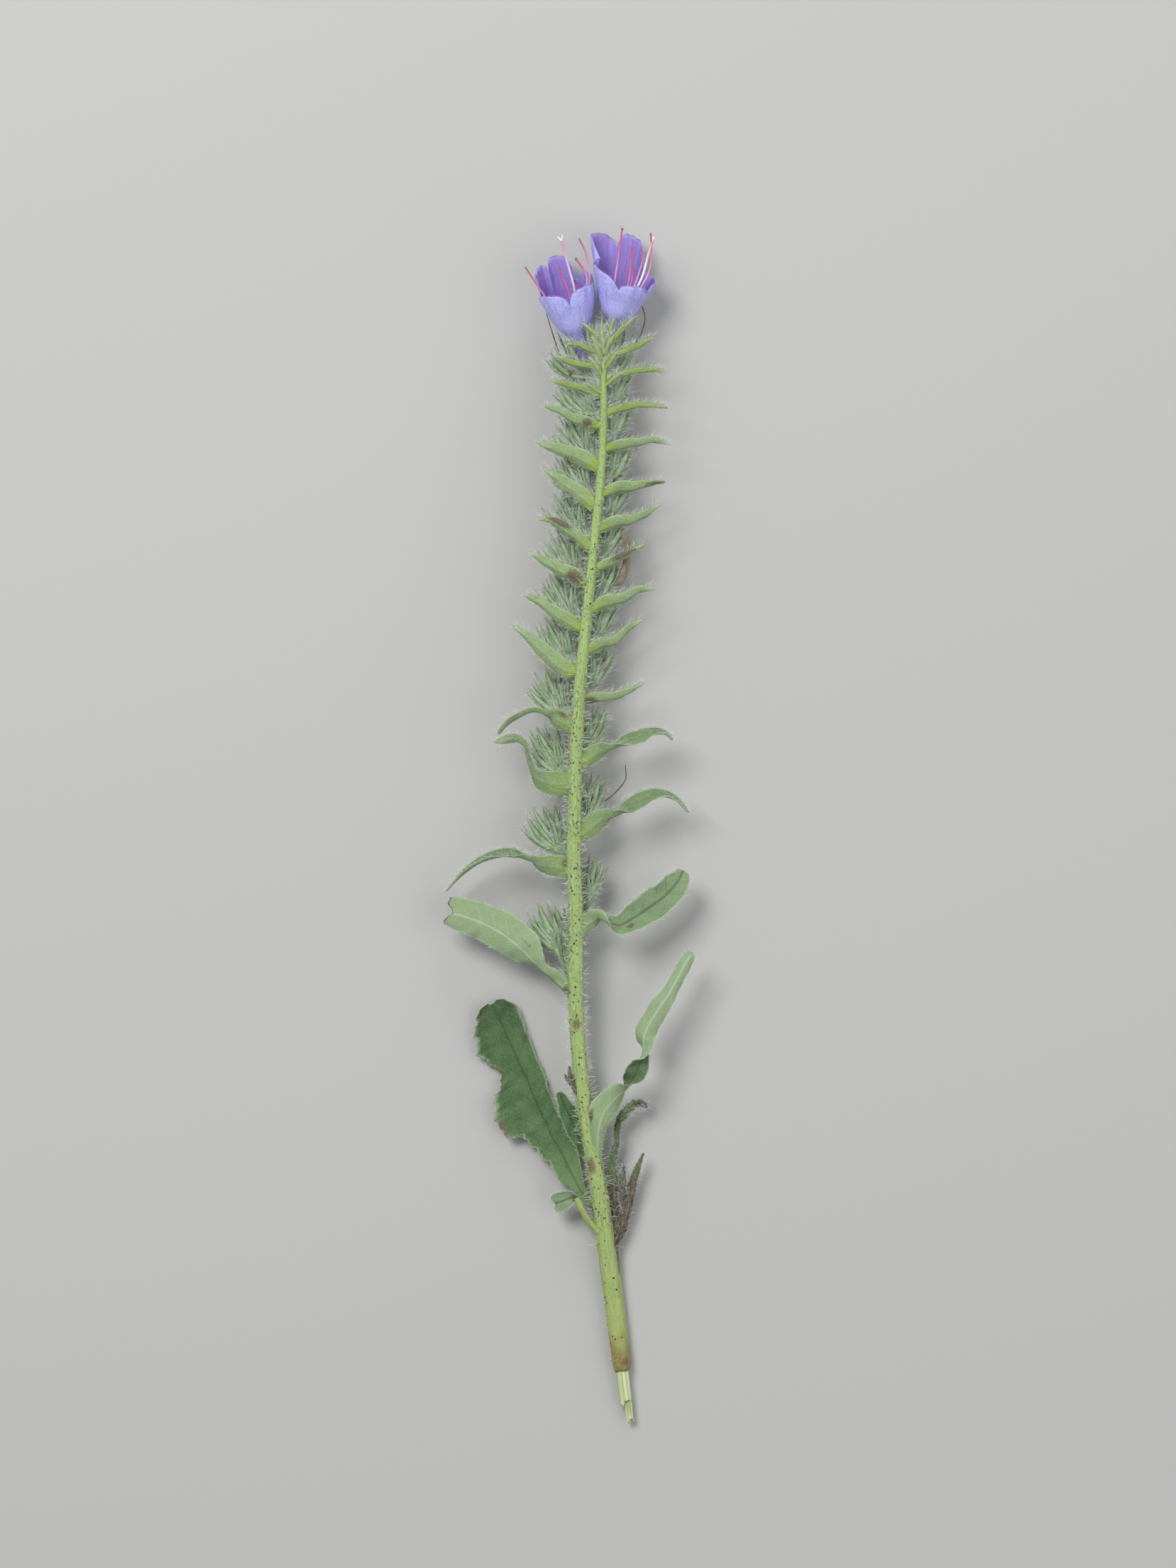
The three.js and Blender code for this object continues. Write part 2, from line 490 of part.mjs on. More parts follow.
// A calyx on its own short stalk: from the fork to its foot, then a cup with five pointed lobes.
function calyx(fork, foot, tip, { cup, throat, spread, waist }) {
  const length = foot.distanceTo(tip);
  const start = fork.clone().addScaledVector(foot.clone().sub(fork).normalize(), NECK.inset);
  const turned = new THREE.Quaternion()
    .setFromUnitVectors(new THREE.Vector3(0, 0, 1), tip.clone().sub(foot).normalize())
    .multiply(new THREE.Quaternion().setFromAxisAngle(new THREE.Vector3(0, 0, 1), random() * Math.PI));
  const points = [];
  const put = (centre, angle, radius, height) =>
    new THREE.Vector3(radius * Math.cos(radians(angle)), radius * Math.sin(radians(angle)), height)
      .applyQuaternion(turned)
      .add(centre)
      .toArray(points, points.length);
  for (let i = 0; i < 5; i++) {
    const middle = 72 * i;
    put(start, middle, NECK.from, 0);
    put(foot, middle, NECK.to, 0);
    put(foot, middle - LOBE_HALF_ANGLE, cup, waist * length);
    put(foot, middle + LOBE_HALF_ANGLE, cup, waist * length);
    put(foot, middle, throat, (waist - NOTCH_DIP) * length);
    put(foot, middle, spread, length * (i % 2 ? 1 : SHORT_LOBE));
  }
  const faces = [];
  const fan = (k, flip) => {
    for (let i = 1; i < 4; i++) {
      const [b, c] = flip ? [i + 1, i] : [i, i + 1];
      faces.push(k, 6 * b + k, 6 * c + k);
    }
  };
  fan(0, true);
  fan(4, false);
  for (let i = 0; i < 5; i++) {
    const [neck, root, low, high, inner, point] = [0, 1, 2, 3, 4, 5].map((k) => 6 * i + k);
    const [nextNeck, nextRoot, nextLow, , nextInner] = [0, 1, 2, 3, 4].map((k) => 6 * ((i + 1) % 5) + k);
    faces.push(neck, nextNeck, nextRoot, neck, nextRoot, root);
    faces.push(root, high, low, root, nextRoot, nextLow, root, nextLow, high);
    faces.push(high, nextLow, nextInner, high, nextInner, inner);
    faces.push(low, high, point, high, inner, point, inner, low, point);
  }
  const geometry = new THREE.BufferGeometry();
  geometry.setAttribute("position", new THREE.BufferAttribute(new Float32Array(points), 3));
  geometry.setIndex(faces);
  return solidOf(geometry);
}

// The stem's centre and radius at a height, by the curve that the stem itself follows.
const stemLine = smooth(STEM.map(vector));
const stemSize = smooth(STEM.map((row) => new THREE.Vector3(row[3], 0, 0)));
function stemAt(y) {
  let [low, high] = [0, 1];
  for (let i = 0; i < 30; i++) {
    const middle = (low + high) / 2;
    if (stemLine.getPoint(middle).y < y) low = middle;
    else high = middle;
  }
  return { centre: stemLine.getPoint(low), radius: stemSize.getPoint(low).x };
}

// A point beside the stem: out from its axis, turned from straight behind towards the given side.
function beside(y, out, turn, side) {
  const { centre } = stemAt(y);
  const angle = radians(turn);
  return new THREE.Vector3(
    centre.x + side * out * Math.sin(angle),
    y,
    centre.z - out * Math.cos(angle),
  );
}

// What is seated on the stem stops short of it, all round.
const SLEEVE = stalk(STEM.map(([x, y, z, radius]) => [x, y, z, radius + SEAT]), STEM_SIDES, STEM_STEPS);
function seated(solid) {
  const left = solid.subtract(SLEEVE).decompose();
  return left.reduce((most, piece) => (piece.volume() > most.volume() ? piece : most));
}

function stem() {
  const tips = TIP_BRACTS.map((rows) => {
    const roll = TIP_ROLL * Math.sign(rows[0][0] - rows[rows.length - 1][0]);
    return blade(rows.map(([x, y, z, half], i) => [x, y, z, half, half, i ? roll : 0]), rows.length + 1, 2);
  });
  const stub = stalk(STUB, 6, 4).add(blade(STUB_BLADE, 6, 2));
  add("stem", pressed(join([stalk(STEM, STEM_SIDES, STEM_STEPS), stub, ...tips])), STEM_GREEN);
}

// The pale wood that the torn bark leaves bare, broken off in two steps.
function stemCore() {
  add("stem_core", stalk(CORE, 8, 1).add(stalk(SLIVER, 6, 1)), CORE_GREEN);
}

function bractRows({ at, reach, rise, width, roll, lift }, side) {
  const { centre } = stemAt(at);
  return [0, ...rise].map((height, i) => [
    centre.x + side * (BRACT_ROOT.out + (reach * i) / 4),
    at + height,
    centre.z + BRACT_ROOT.up + (lift * i) / 4,
    (BRACT_TAPER[i] * width) / 2,
    (BRACT_TAPER[i] * width) / 2,
    i ? roll : roll / 2,
  ]);
}

function leavesAndBracts() {
  for (const [word, side, specs] of [["left", -1, LEFT_BRACTS], ["right", 1, RIGHT_BRACTS]]) {
    specs.forEach((spec, i) => {
      add(`bract_${word}_${i + 1}`, seated(blade(bractRows(spec, side), BRACT_STEPS, 2)), BRACT_GREEN);
    });
  }
  for (const [name, rows] of Object.entries(TWISTED)) {
    const isLeaf = name.startsWith("leaf");
    const steps = isLeaf ? 2 * (rows.length - 1) : rows.length + 3;
    const solid = seated(pressed(blade(rows, steps, isLeaf ? 4 : 2)));
    add(name, solid, isLeaf ? LEAF_GREEN : BRACT_GREEN);
  }
}

// The short stalk from the stem that a cyme's calyces fork from, and the point where they do.
function rachis(at, side) {
  const { radius } = stemAt(at);
  const root = beside(at + RACHIS.from, radius - RACHIS.sunk, RACHIS.turn, side);
  const end = beside(at + RACHIS.to, radius + RACHIS.out, RACHIS.turn, side);
  const solid = stalk([[...root, RACHIS.thin], [...end, RACHIS.thick]], 5, 1);
  return { fork: root.clone().lerp(end, RACHIS.fork), solid };
}

// One cyme behind a bract.
function cyme(name, at, side, size) {
  const { centre } = stemAt(at);
  const { fork, solid } = rachis(at, side);
  const solids = [solid];
  const touches = SUPPORTS.includes(name);
  const longer = LONGER_STALKS[name] ?? 0;
  const seats = side < 0 ? CALYXES.left : CALYXES.right;
  seats.forEach((seat, i) => {
    const turn = seat.turn + jitter(WANDER.turn);
    const rests = touches && i === 0;
    const room = centre.z - CLEAR_OF_GROUND - (rests ? 0 : LOBES.spread);
    const furthest = room / Math.cos(radians(turn));
    const tipOut = rests ? furthest : Math.min(seat.tipOut * size, furthest);
    const out = Math.min(seat.out * size, tipOut - SHORTEST_CALYX);
    const foot = beside(at + longer + seat.up * size + jitter(WANDER.foot), out, turn, side);
    const tip = beside(at + longer + seat.tipUp * size + jitter(WANDER.tip), tipOut, turn, side);
    solids.push(calyx(fork, foot, tip, LOBES));
  });
  add(name, seated(pressed(join(solids))), CALYX_GREEN);
}

function cymes() {
  for (const [word, side] of [["left", -1], ["right", 1]]) {
    CYMES[word].forEach((at, i) => cyme(`cyme_${word}_${i + 1}`, at, side, i ? 1 : TOP_CYME));
  }
}

// A point of an open flower: across its tube, along it and towards the viewer.
function inFlower({ base, lean }, x, y, z) {
  return new THREE.Vector3(x, y, z)
    .applyAxisAngle(new THREE.Vector3(1, 0, 0), radians(FLOWER_LIFT))
    .applyAxisAngle(new THREE.Vector3(0, 0, 1), radians(lean))
    .add(vector(base));
}

// How far out and how high the rim is at an angle: round lobes that rise from the line of the notches.
function rimAt({ lobes, notches }, angle) {
  let i = notches.length - 1;
  while (i > 0 && notches[i][0] > angle) i--;
  const [from, fromOut, fromHeight] = notches[i];
  const [to, toOut, toHeight] = notches[(i + 1) % notches.length];
  const [peak, peakOut, peakHeight] = lobes[i];
  const end = to > from ? to : to + 360;
  const share = angle < peak ? (angle - from) / (peak - from) / 2 : 1 - (end - angle) / (end - peak) / 2;
  const bulge = Math.sin(Math.PI * share) ** ROUND_LOBES;
  const out = THREE.MathUtils.lerp(fromOut, toOut, share) + bulge * (peakOut - (fromOut + toOut) / 2);
  const foot = (fromHeight + toHeight) / 2;
  return [out, THREE.MathUtils.lerp(fromHeight, toHeight, share) + bulge * (peakHeight - foot)];
}

// A corolla is a round plate drawn up into a funnel: its rings are numbered from the middle to the rim.
function corolla(flower) {
  const rings = TUBE.length + 1;
  const outer = Array.from({ length: rings + 1 }, (_, k) => new THREE.Vector2(k, 0));
  const inner = Array.from({ length: rings + 1 }, (_, k) => new THREE.Vector2(rings - k, 1));
  const plate = new THREE.LatheGeometry([...outer, ...inner], COROLLA_COLUMNS);
  const first = flower.notches[0][0];
  const throat = TUBE[TUBE.length - 1];
  const shift = BLADE / 2;
  return solidOf(
    shaped(plate, (x, layer, z) => {
      const angle = THREE.MathUtils.euclideanModulo(THREE.MathUtils.radToDeg(Math.atan2(x, z)), 360);
      const ring = Math.round(Math.hypot(x, z));
      const rim = rimAt(flower, angle >= first + 360 ? angle - 360 : angle);
      const between = [(throat[0] + rim[0]) / 2 + FULLNESS, (throat[1] + rim[1]) / 2];
      const rows = [...TUBE, between, rim];
      const line = smooth(rows.map(([out, up]) => new THREE.Vector3(Math.max(0, out - shift), up, 0)));
      const point = line.getPoint(ring / rings);
      const along = line.getTangent(ring / rings);
      const inward = ring ? new THREE.Vector3(-along.y, along.x, 0) : new THREE.Vector3(0, 1, 0);
      point.addScaledVector(inward, layer > 0.5 ? shift : -shift);
      const [across, towards] = [Math.sin(radians(angle)), Math.cos(radians(angle))];
      return inFlower(flower, point.x * across, point.y, point.x * towards);
    }),
  );
}

function flowers() {
  for (const [word, flower] of Object.entries(FLOWERS)) {
    const { base, filaments, style, fork, stalkFrom, bud } = flower;
    add(`corolla_${word}`, corolla(flower), PETAL_VIOLET);

    const seat = IN_TUBE.seat.map((y) => [...inFlower(flower, 0, y, 0), FILAMENT_SEAT]);
    const threads = filaments.map(([angle, ...path]) => {
      const [x, z] = [Math.sin(radians(angle)) * TUBE_RADIUS, Math.cos(radians(angle)) * TUBE_RADIUS];
      const rooted = IN_TUBE.filament.map((y) => inFlower(flower, x, y, z));
      const rows = [...rooted, ...path.map(vector)];
      const last = rows.length - 1;
      return stalk(rows.map((point, i) => [...point, i === last ? ANTHER : FILAMENT]), 5, last + 2);
    });
    add(`stamens_${word}`, join([stalk(seat, 10, 1), ...threads]), FILAMENT_PINK);

    const line = [...IN_TUBE.style.map((y) => inFlower(flower, 0, y, 0)), ...style.map(vector)];
    const split = [...line[line.length - 1], STYLE - 0.01];
    const tines = fork.map((tip) => stalk([split, [...tip, STYLE - 0.04]], 5, 1));
    const main = stalk(line.map((point) => [...point, STYLE]), 5, line.length + 1);
    add(`style_${word}`, join([main, ...tines]), STYLE_PALE);

    const rise = rachis(stalkFrom, base[0] < stemAt(stalkFrom).centre.x ? -1 : 1);
    const [foot, tip] = [FLOWER_CALYX.foot, FLOWER_CALYX.tip].map((y) => inFlower(flower, 0, y, 0));
    const cup = calyx(rise.fork, foot, tip, FLOWER_CALYX.lobes);
    const closed = calyx(rise.fork, vector(bud[0]), vector(bud[1]), LOBES);
    add(`flower_calyx_${word}`, seated(join([rise.solid, cup, closed])), CALYX_GREEN);
  }
}

function witheredPieces() {
  const shoot = join(SHOOT.map((rows) => stalk(rows, 4, rows.length)));
  add("withered_shoot", seated(shoot), WITHERED);
  add("withered_corolla", stalk(DEAD_COROLLA, 6, 8), WITHERED);
}

stem();
stemCore();
leavesAndBracts();
cymes();
flowers();
witheredPieces();

export default plant;
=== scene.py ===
# A cut stem of viper's bugloss: finer blades, petals and calyces round the same lines as the
# solids, with the bristles and hairs that cover the plant. Lengths are in millimetres until a mesh
# is written, where they become metres.
import math

import bmesh
import bpy
import numpy as np
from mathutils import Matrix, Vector


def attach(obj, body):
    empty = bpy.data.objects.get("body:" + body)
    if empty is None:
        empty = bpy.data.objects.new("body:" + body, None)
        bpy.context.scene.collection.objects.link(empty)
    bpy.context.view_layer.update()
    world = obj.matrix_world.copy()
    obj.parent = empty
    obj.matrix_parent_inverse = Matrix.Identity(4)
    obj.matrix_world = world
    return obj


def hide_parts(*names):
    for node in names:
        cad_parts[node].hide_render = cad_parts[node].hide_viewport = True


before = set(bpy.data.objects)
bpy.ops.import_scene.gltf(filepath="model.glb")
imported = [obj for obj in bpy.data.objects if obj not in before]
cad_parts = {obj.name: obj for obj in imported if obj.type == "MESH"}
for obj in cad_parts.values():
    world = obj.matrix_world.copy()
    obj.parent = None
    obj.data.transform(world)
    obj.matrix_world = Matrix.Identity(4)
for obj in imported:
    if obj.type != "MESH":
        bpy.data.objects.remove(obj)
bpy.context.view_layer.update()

MM = 0.001
TOUCH = 0.02  # the lowest that anything lies
UP = np.array([0.0, 0.0, 1.0])
TURN = 2 * math.pi
luck = np.random.default_rng(7)

# The lines of the solids

FOLD = 0.22  # how far a blade's halves drop for each millimetre from the midrib
FLOWER_LIFT = 4  # degrees that the open flowers look up
TIP_ROLL = 40
TUBE_RADIUS = 0.6

# The stem's centre line and radius, from the cut end up.
STEM = [
    (8.2, -84.0, 1.28, 1.4), (6.95, -74.0, 1.34, 1.48), (5.6, -64.0, 2.1, 1.42),
    (4.3, -54.5, 3.1, 1.3), (2.75, -45.5, 4.1, 1.18), (1.55, -36.0, 5.05, 1.12),
    (1.0, -25.5, 6.0, 1.12), (1.1, -15.5, 6.8, 1.08), (0.75, -5.5, 7.5, 1.06),
    (0.9, 5.5, 8.1, 1.0), (1.25, 15.5, 8.5, 0.95), (1.95, 25.0, 8.8, 0.86), (2.9, 34.0, 9.0, 0.78),
    (3.8, 43.0, 9.1, 0.74), (4.65, 51.5, 9.15, 0.68), (5.2, 60.0, 9.15, 0.58),
    (5.25, 67.0, 9.15, 0.5), (5.3, 73.6, 9.2, 0.45),
]

# The plain bracts down the stem: where each stands, its reach, how high its midrib is at each
# quarter of that, its full width, the roll of its blade and how far its tip lifts.
LEFT_BRACTS = [
    (61.1, 8.7, (0.5, 1.2, 2.5, 3.15), 2.3, 34, 0.5),
    (54.7, 9.5, (1.5, 2.4, 3.2, 4.0), 2.8, 24, 0.2),
    (48.7, 7.9, (1.75, 3.2, 4.6, 6.0), 2.8, 20, 0.6),
    (42.5, 8.0, (1.55, 3.0, 4.15, 4.4), 2.4, 34, 0.4),
    (36.5, 8.7, (1.8, 2.7, 4.0, 5.3), 2.6, 26, 0.1),
    (30.0, 9.0, (1.3, 2.7, 4.4, 5.4), 2.6, 24, 0.5),
    (23.3, 9.9, (1.0, 3.1, 5.4, 7.3), 3.0, 18, 0.3),
]
RIGHT_BRACTS = [
    (57.6, 9.8, (0.5, 0.85, 1.3, 0.8), 2.3, -44, 0.6),
    (50.8, 9.6, (0.75, 0.95, 1.5, 1.9), 2.5, -38, 0.2),
    (45.3, 9.6, (0.95, 1.3, 2.4, 4.0), 2.5, -38, 0.5),
    (39.2, 7.7, (0.7, 1.65, 2.7, 3.9), 2.2, -44, 0.3),
    (32.9, 9.8, (1.2, 1.7, 3.1, 3.4), 2.6, -34, 0.6),
    (26.5, 8.8, (1.15, 1.6, 3.7, 5.1), 2.4, -40, 0.2),
    (19.1, 9.4, (0.35, 0.5, 1.4, 2.7), 2.2, -40, 0.4),
]
BRACT_TAPER = (0.55, 1, 0.86, 0.56, 0.14)

# The small bracts round the growing tip: x, y, z and half their width.
TIP_BRACTS = [
    [(5.1, 65.9, 9.1, 0.5), (2.6, 66.6, 9.3, 0.8), (0.2, 67.3, 9.4, 0.6), (-2.8, 68.1, 9.4, 0.2)],
    [(5.2, 63.1, 9.1, 0.5), (8.2, 63.8, 9.3, 0.8), (11.2, 64.3, 9.5, 0.6), (15.0, 64.0, 9.5, 0.2)],
    [(5.2, 70.2, 9.2, 0.4), (3.2, 70.2, 9.3, 0.7), (0.2, 70.8, 9.5, 0.6), (-2.1, 72.0, 9.5, 0.2)],
    [(5.2, 68.3, 9.2, 0.4), (8.0, 69.0, 9.3, 0.6), (11.7, 69.7, 9.5, 0.55), (14.6, 69.5, 9.5, 0.2)],
    [(5.2, 72.4, 9.2, 0.4), (3.0, 72.8, 9.7, 0.6), (1.2, 73.6, 9.9, 0.5), (-0.4, 73.7, 9.9, 0.2)],
    [(5.3, 71.7, 9.2, 0.4), (8.3, 72.4, 9.6, 0.6), (10.8, 73.5, 9.7, 0.55), (13.0, 74.8, 9.6, 0.2)],
    [(5.2, 73.2, 9.2, 0.4), (4.2, 74.8, 9.8, 0.6), (2.1, 76.9, 10.4, 0.2)],
    [(5.4, 73.2, 9.2, 0.4), (7.3, 74.9, 9.9, 0.6), (9.9, 77.8, 10.0, 0.2)],
    [(5.3, 73.2, 9.2, 0.4), (5.4, 75.0, 9.9, 0.5), (5.5, 76.8, 10.3, 0.2)],
    [(5.4, 73.2, 9.2, 0.4), (6.3, 75.2, 9.7, 0.5), (6.9, 77.8, 10.1, 0.2)],
]

# Leaves and bracts that twist, along the midrib: x, y, z, width left and right of it, roll in
# degrees.
TWISTED = {
    "bract_left_8": [
        (0.7, 15.0, 8.7, 1.2, 1.1, 0), (-1.6, 16.3, 8.7, 1.5, 1.4, 10),
        (-3.3, 17.0, 8.8, 1.1, 0.9, 50), (-5.5, 17.5, 8.9, 0.9, 0.8, 66),
        (-8.2, 16.4, 8.9, 0.9, 0.8, 62), (-10.0, 15.0, 8.8, 0.6, 0.6, 60),
        (-10.9, 13.9, 8.7, 0.3, 0.3, 60),
    ],
    "bract_left_9": [
        (0.5, 6.4, 8.3, 1.9, 1.8, 0), (-2.0, 6.5, 8.3, 2.0, 1.9, 0),
        (-4.2, 7.0, 8.5, 1.7, 1.5, 15), (-5.7, 8.3, 8.9, 1.0, 0.8, 50),
        (-6.4, 10.4, 9.6, 0.8, 0.7, 68), (-6.9, 12.2, 10.3, 0.8, 0.7, 62),
        (-8.0, 13.2, 10.9, 0.8, 0.8, 30), (-9.6, 13.2, 10.9, 0.7, 0.7, 10),
        (-11.4, 12.7, 10.6, 0.2, 0.2, 0),
    ],
    "bract_left_10": [
        (0.3, -6.6, 7.6, 1.4, 1.4, 0), (-2.0, -6.2, 7.6, 1.7, 1.7, 6),
        (-3.9, -6.0, 7.7, 1.6, 1.5, 20), (-5.9, -5.3, 7.8, 1.1, 0.9, 62),
        (-8.1, -4.7, 7.9, 1.3, 1.2, 118), (-10.5, -4.6, 7.8, 1.3, 1.2, 122),
        (-13.3, -5.5, 7.4, 1.1, 1.0, 112), (-16.0, -7.2, 6.8, 0.8, 0.7, 100),
        (-18.9, -10.1, 6.2, 0.25, 0.25, 96),
    ],
    "bract_right_8": [
        (1.5, 9.6, 8.5, 1.2, 1.2, 0), (3.5, 10.8, 8.5, 1.5, 1.4, -6),
        (5.0, 11.5, 8.6, 1.3, 1.2, -25), (6.7, 11.9, 8.6, 1.0, 1.0, -78),
        (8.7, 12.7, 8.5, 1.5, 1.4, -138), (10.9, 13.5, 8.4, 1.4, 1.3, -146),
        (12.9, 14.2, 8.3, 1.0, 1.0, -134), (14.6, 14.1, 8.2, 0.6, 0.6, -126),
        (15.9, 13.1, 8.0, 0.25, 0.25, -120),
    ],
    "bract_right_9": [
        (1.3, -1.6, 7.9, 1.4, 1.4, 0), (3.3, -0.1, 7.9, 1.7, 1.6, -4),
        (5.2, 1.2, 8.0, 1.5, 1.5, -20), (7.2, 1.6, 8.1, 1.2, 1.2, -72),
        (9.1, 2.5, 8.0, 1.7, 1.6, -138), (11.1, 3.8, 7.9, 1.6, 1.5, -148),
        (13.2, 4.7, 7.7, 1.2, 1.1, -140), (15.8, 4.3, 7.4, 0.7, 0.7, -130),
        (18.4, 2.0, 7.0, 0.25, 0.25, -124),
    ],
    "leaf_left": [
        (0.5, -26.2, 6.2, 0.9, 0.9, 20), (-2.1, -23.5, 6.4, 1.5, 1.3, 46),
        (-4.2, -21.8, 6.6, 1.8, 1.1, 48), (-6.3, -19.8, 6.8, 2.4, 2.8, 26),
        (-8.5, -17.9, 6.9, 2.7, 3.5, 6), (-10.7, -16.3, 6.8, 2.8, 3.4, 2),
        (-13.4, -14.9, 6.5, 2.8, 3.2, 0), (-16.3, -13.9, 6.1, 2.5, 2.9, -4),
        (-19.2, -13.2, 5.6, 2.0, 2.7, -6),
    ],
    "leaf_right": [
        (1.7, -16.0, 7.1, 1.1, 1.1, 0), (3.4, -14.5, 7.6, 1.5, 1.4, -20),
        (4.6, -14.1, 8.1, 1.5, 1.4, -60), (5.9, -14.8, 8.1, 1.5, 1.4, -118),
        (7.8, -15.3, 7.7, 1.9, 1.7, -158), (10.2, -14.0, 7.2, 2.3, 2.3, -172),
        (12.4, -12.5, 6.9, 2.5, 2.5, -178), (14.6, -10.9, 6.6, 2.4, 2.4, -180),
        (16.6, -8.7, 6.2, 2.0, 2.0, -180), (17.5, -6.9, 6.0, 0.8, 0.8, -180),
    ],
    "leaf_lower_right": [
        (4.4, -51.8, 4.0, 0.6, 0.5, 0), (4.4, -48.3, 5.1, 1.1, 0.9, 0),
        (4.6, -46.0, 5.6, 1.7, 1.3, 0), (5.5, -43.6, 5.8, 2.3, 1.9, -6),
        (7.4, -41.4, 6.0, 1.9, 1.9, -34), (9.0, -40.1, 6.3, 1.7, 1.7, -95),
        (10.0, -38.5, 6.6, 1.8, 1.8, -160), (10.7, -36.8, 7.0, 1.6, 1.5, -190),
        (11.3, -35.3, 7.3, 1.2, 1.2, -250), (11.5, -33.6, 7.5, 1.4, 1.4, -320),
        (11.7, -31.6, 7.7, 1.75, 1.75, -350), (13.6, -28.2, 7.8, 1.6, 1.6, -360),
        (15.6, -25.2, 7.8, 1.2, 1.2, -360), (17.9, -20.9, 7.5, 1.05, 1.05, -360),
        (18.9, -19.5, 7.3, 0.5, 0.5, -360),
    ],
    "leaf_lower_left": [
        (3.6, -58.6, 2.3, 0.5, 0.5, 180), (1.9, -56.4, 2.05, 0.7, 0.7, 180),
        (0.2, -53.3, 1.7, 1.9, 2.1, 180), (-1.4, -50.0, 1.4, 2.8, 2.9, 180),
        (-2.6, -48.0, 1.15, 2.7, 3.5, 180), (-3.4, -46.1, 0.95, 2.6, 4.6, 180),
        (-4.1, -44.8, 0.82, 2.6, 6.6, 180), (-5.1, -42.5, 0.65, 2.6, 7.0, 180),
        (-5.9, -40.7, 0.52, 2.8, 6.2, 180), (-6.6, -38.9, 0.42, 2.9, 4.6, 180),
        (-7.5, -37.1, 0.32, 3.0, 3.5, 180), (-8.5, -34.8, 0.24, 3.1, 4.5, 180),
        (-9.3, -33.1, 0.3, 3.2, 5.4, 180), (-10.3, -30.9, 0.55, 3.4, 4.7, 180),
        (-11.2, -28.9, 0.9, 3.3, 3.7, 180), (-12.0, -27.1, 1.3, 1.9, 1.9, 180),
    ],
    "leaf_behind": [
        (4.0, -52.4, 2.4, 0.6, 0.6, 180), (2.2, -49.4, 2.6, 1.2, 1.2, 180),
        (0.8, -46.4, 2.9, 1.5, 1.5, 180), (-0.5, -43.4, 3.2, 1.3, 1.3, 180),
        (-1.6, -41.0, 3.3, 0.3, 0.3, 180),
    ],
}
STUB = [(4.6, -62.6, 2.6, 0.6), (2.6, -60.2, 3.3, 0.5), (1.0, -57.3, 3.8, 0.4)]
STUB_BLADE = [
    (1.3, -57.2, 3.8, 0.5, 0.5, 180), (0.1, -57.3, 3.8, 1.3, 1.3, 180),
    (-1.0, -57.7, 3.7, 1.6, 1.7, 180), (-1.9, -58.0, 3.6, 1.5, 1.6, 180),
    (-2.5, -58.2, 3.5, 1.0, 1.1, 180),
]
SHOOT = [
    [(6.4, -66.0, 1.9, 0.5), (8.0, -62.1, 1.9, 0.7), (9.1, -58.0, 2.1, 0.72),
     (10.0, -54.0, 2.5, 0.55), (11.4, -50.4, 3.0, 0.16)],
    [
        (8.6, -59.6, 2.0, 0.4), (8.2, -57.0, 2.3, 0.42), (8.25, -54.9, 2.6, 0.42),
        (8.4, -52.3, 3.0, 0.14),
    ],
    [(7.8, -62.4, 1.9, 0.5), (6.9, -58.6, 1.8, 0.6), (6.8, -54.9, 2.1, 0.6), (6.6, -52.0, 2.4, 0.5),
     (7.3, -48.5, 2.8, 0.4)],
    [
        (7.2, -49.2, 2.75, 0.36), (7.5, -46.0, 3.0, 0.45), (8.6, -44.2, 3.2, 0.66),
        (10.1, -42.3, 3.4, 0.3),
    ],
    [(8.5, -44.4, 3.2, 0.4), (10.6, -42.7, 2.9, 0.42), (12.0, -43.2, 2.6, 0.3)],
]
DEAD_COROLLA = [
    (8.2, 45.4, 7.3, 0.25), (8.7, 43.7, 7.5, 0.52), (8.8, 41.3, 7.5, 0.5), (8.5, 39.1, 7.3, 0.55),
    (7.9, 37.5, 7.1, 0.45), (7.0, 36.9, 7.0, 0.18),
]
CORE = [(8.15, -83.5, 1.28, 1.0), (8.78, -88.9, 1.28, 0.92)]
SLIVER = [(8.95, -88.0, 1.28, 0.62), (9.42, -91.6, 1.24, 0.52)]

# Each cyme's calyces: turn about the stem from straight behind, foot (out, up) and tip (out, up).
CALYXES = {
    "left": [
        (12, 4.2, 2.7, 8.6, 7.2), (33, 3.9, 3.3, 8.8, 8.1), (51, 3.4, 2.9, 8.7, 7.6),
        (71, 3.2, 1.9, 9.3, 4.9),
    ],
    "right": [(15, 4.3, 2.8, 8.8, 7.2), (33, 3.6, 3.4, 7.2, 8.0), (52, 2.9, 2.6, 5.5, 7.0)],
}
CYMES = {
    "left": (61.1, 54.7, 48.7, 42.5, 36.5, 30.0, 23.3, 15.3, 6.3, -6.5, -25.0),
    "right": (63.1, 57.6, 50.8, 45.3, 39.2, 32.9, 26.5, 19.1, 9.8, -1.5, -15.7),
}
LONGER_STALKS = {
    "cyme_left_10": 0.8, "cyme_left_11": 4.2, "cyme_right_10": 0.5, "cyme_right_11": 2.4,
}
TOP_CYME = 0.92
SHORTEST_CALYX = 2.5
SUPPORTS = ("cyme_left_5", "cyme_right_6", "cyme_left_6", "cyme_right_7")
CLEAR_OF_GROUND = 0.3
WANDER = {"turn": 2, "foot": 0.15, "tip": 0.3}
RACHIS = {"turn": 35, "from": 0.9, "to": 2.1, "sunk": 0.2, "out": 1.3, "fork": 0.85}
LOBES = {"cup": 0.78, "spread": 1.2, "waist": 0.34}
SMALL_LOBES = {"cup": 0.5, "spread": 0.75, "waist": 0.34}

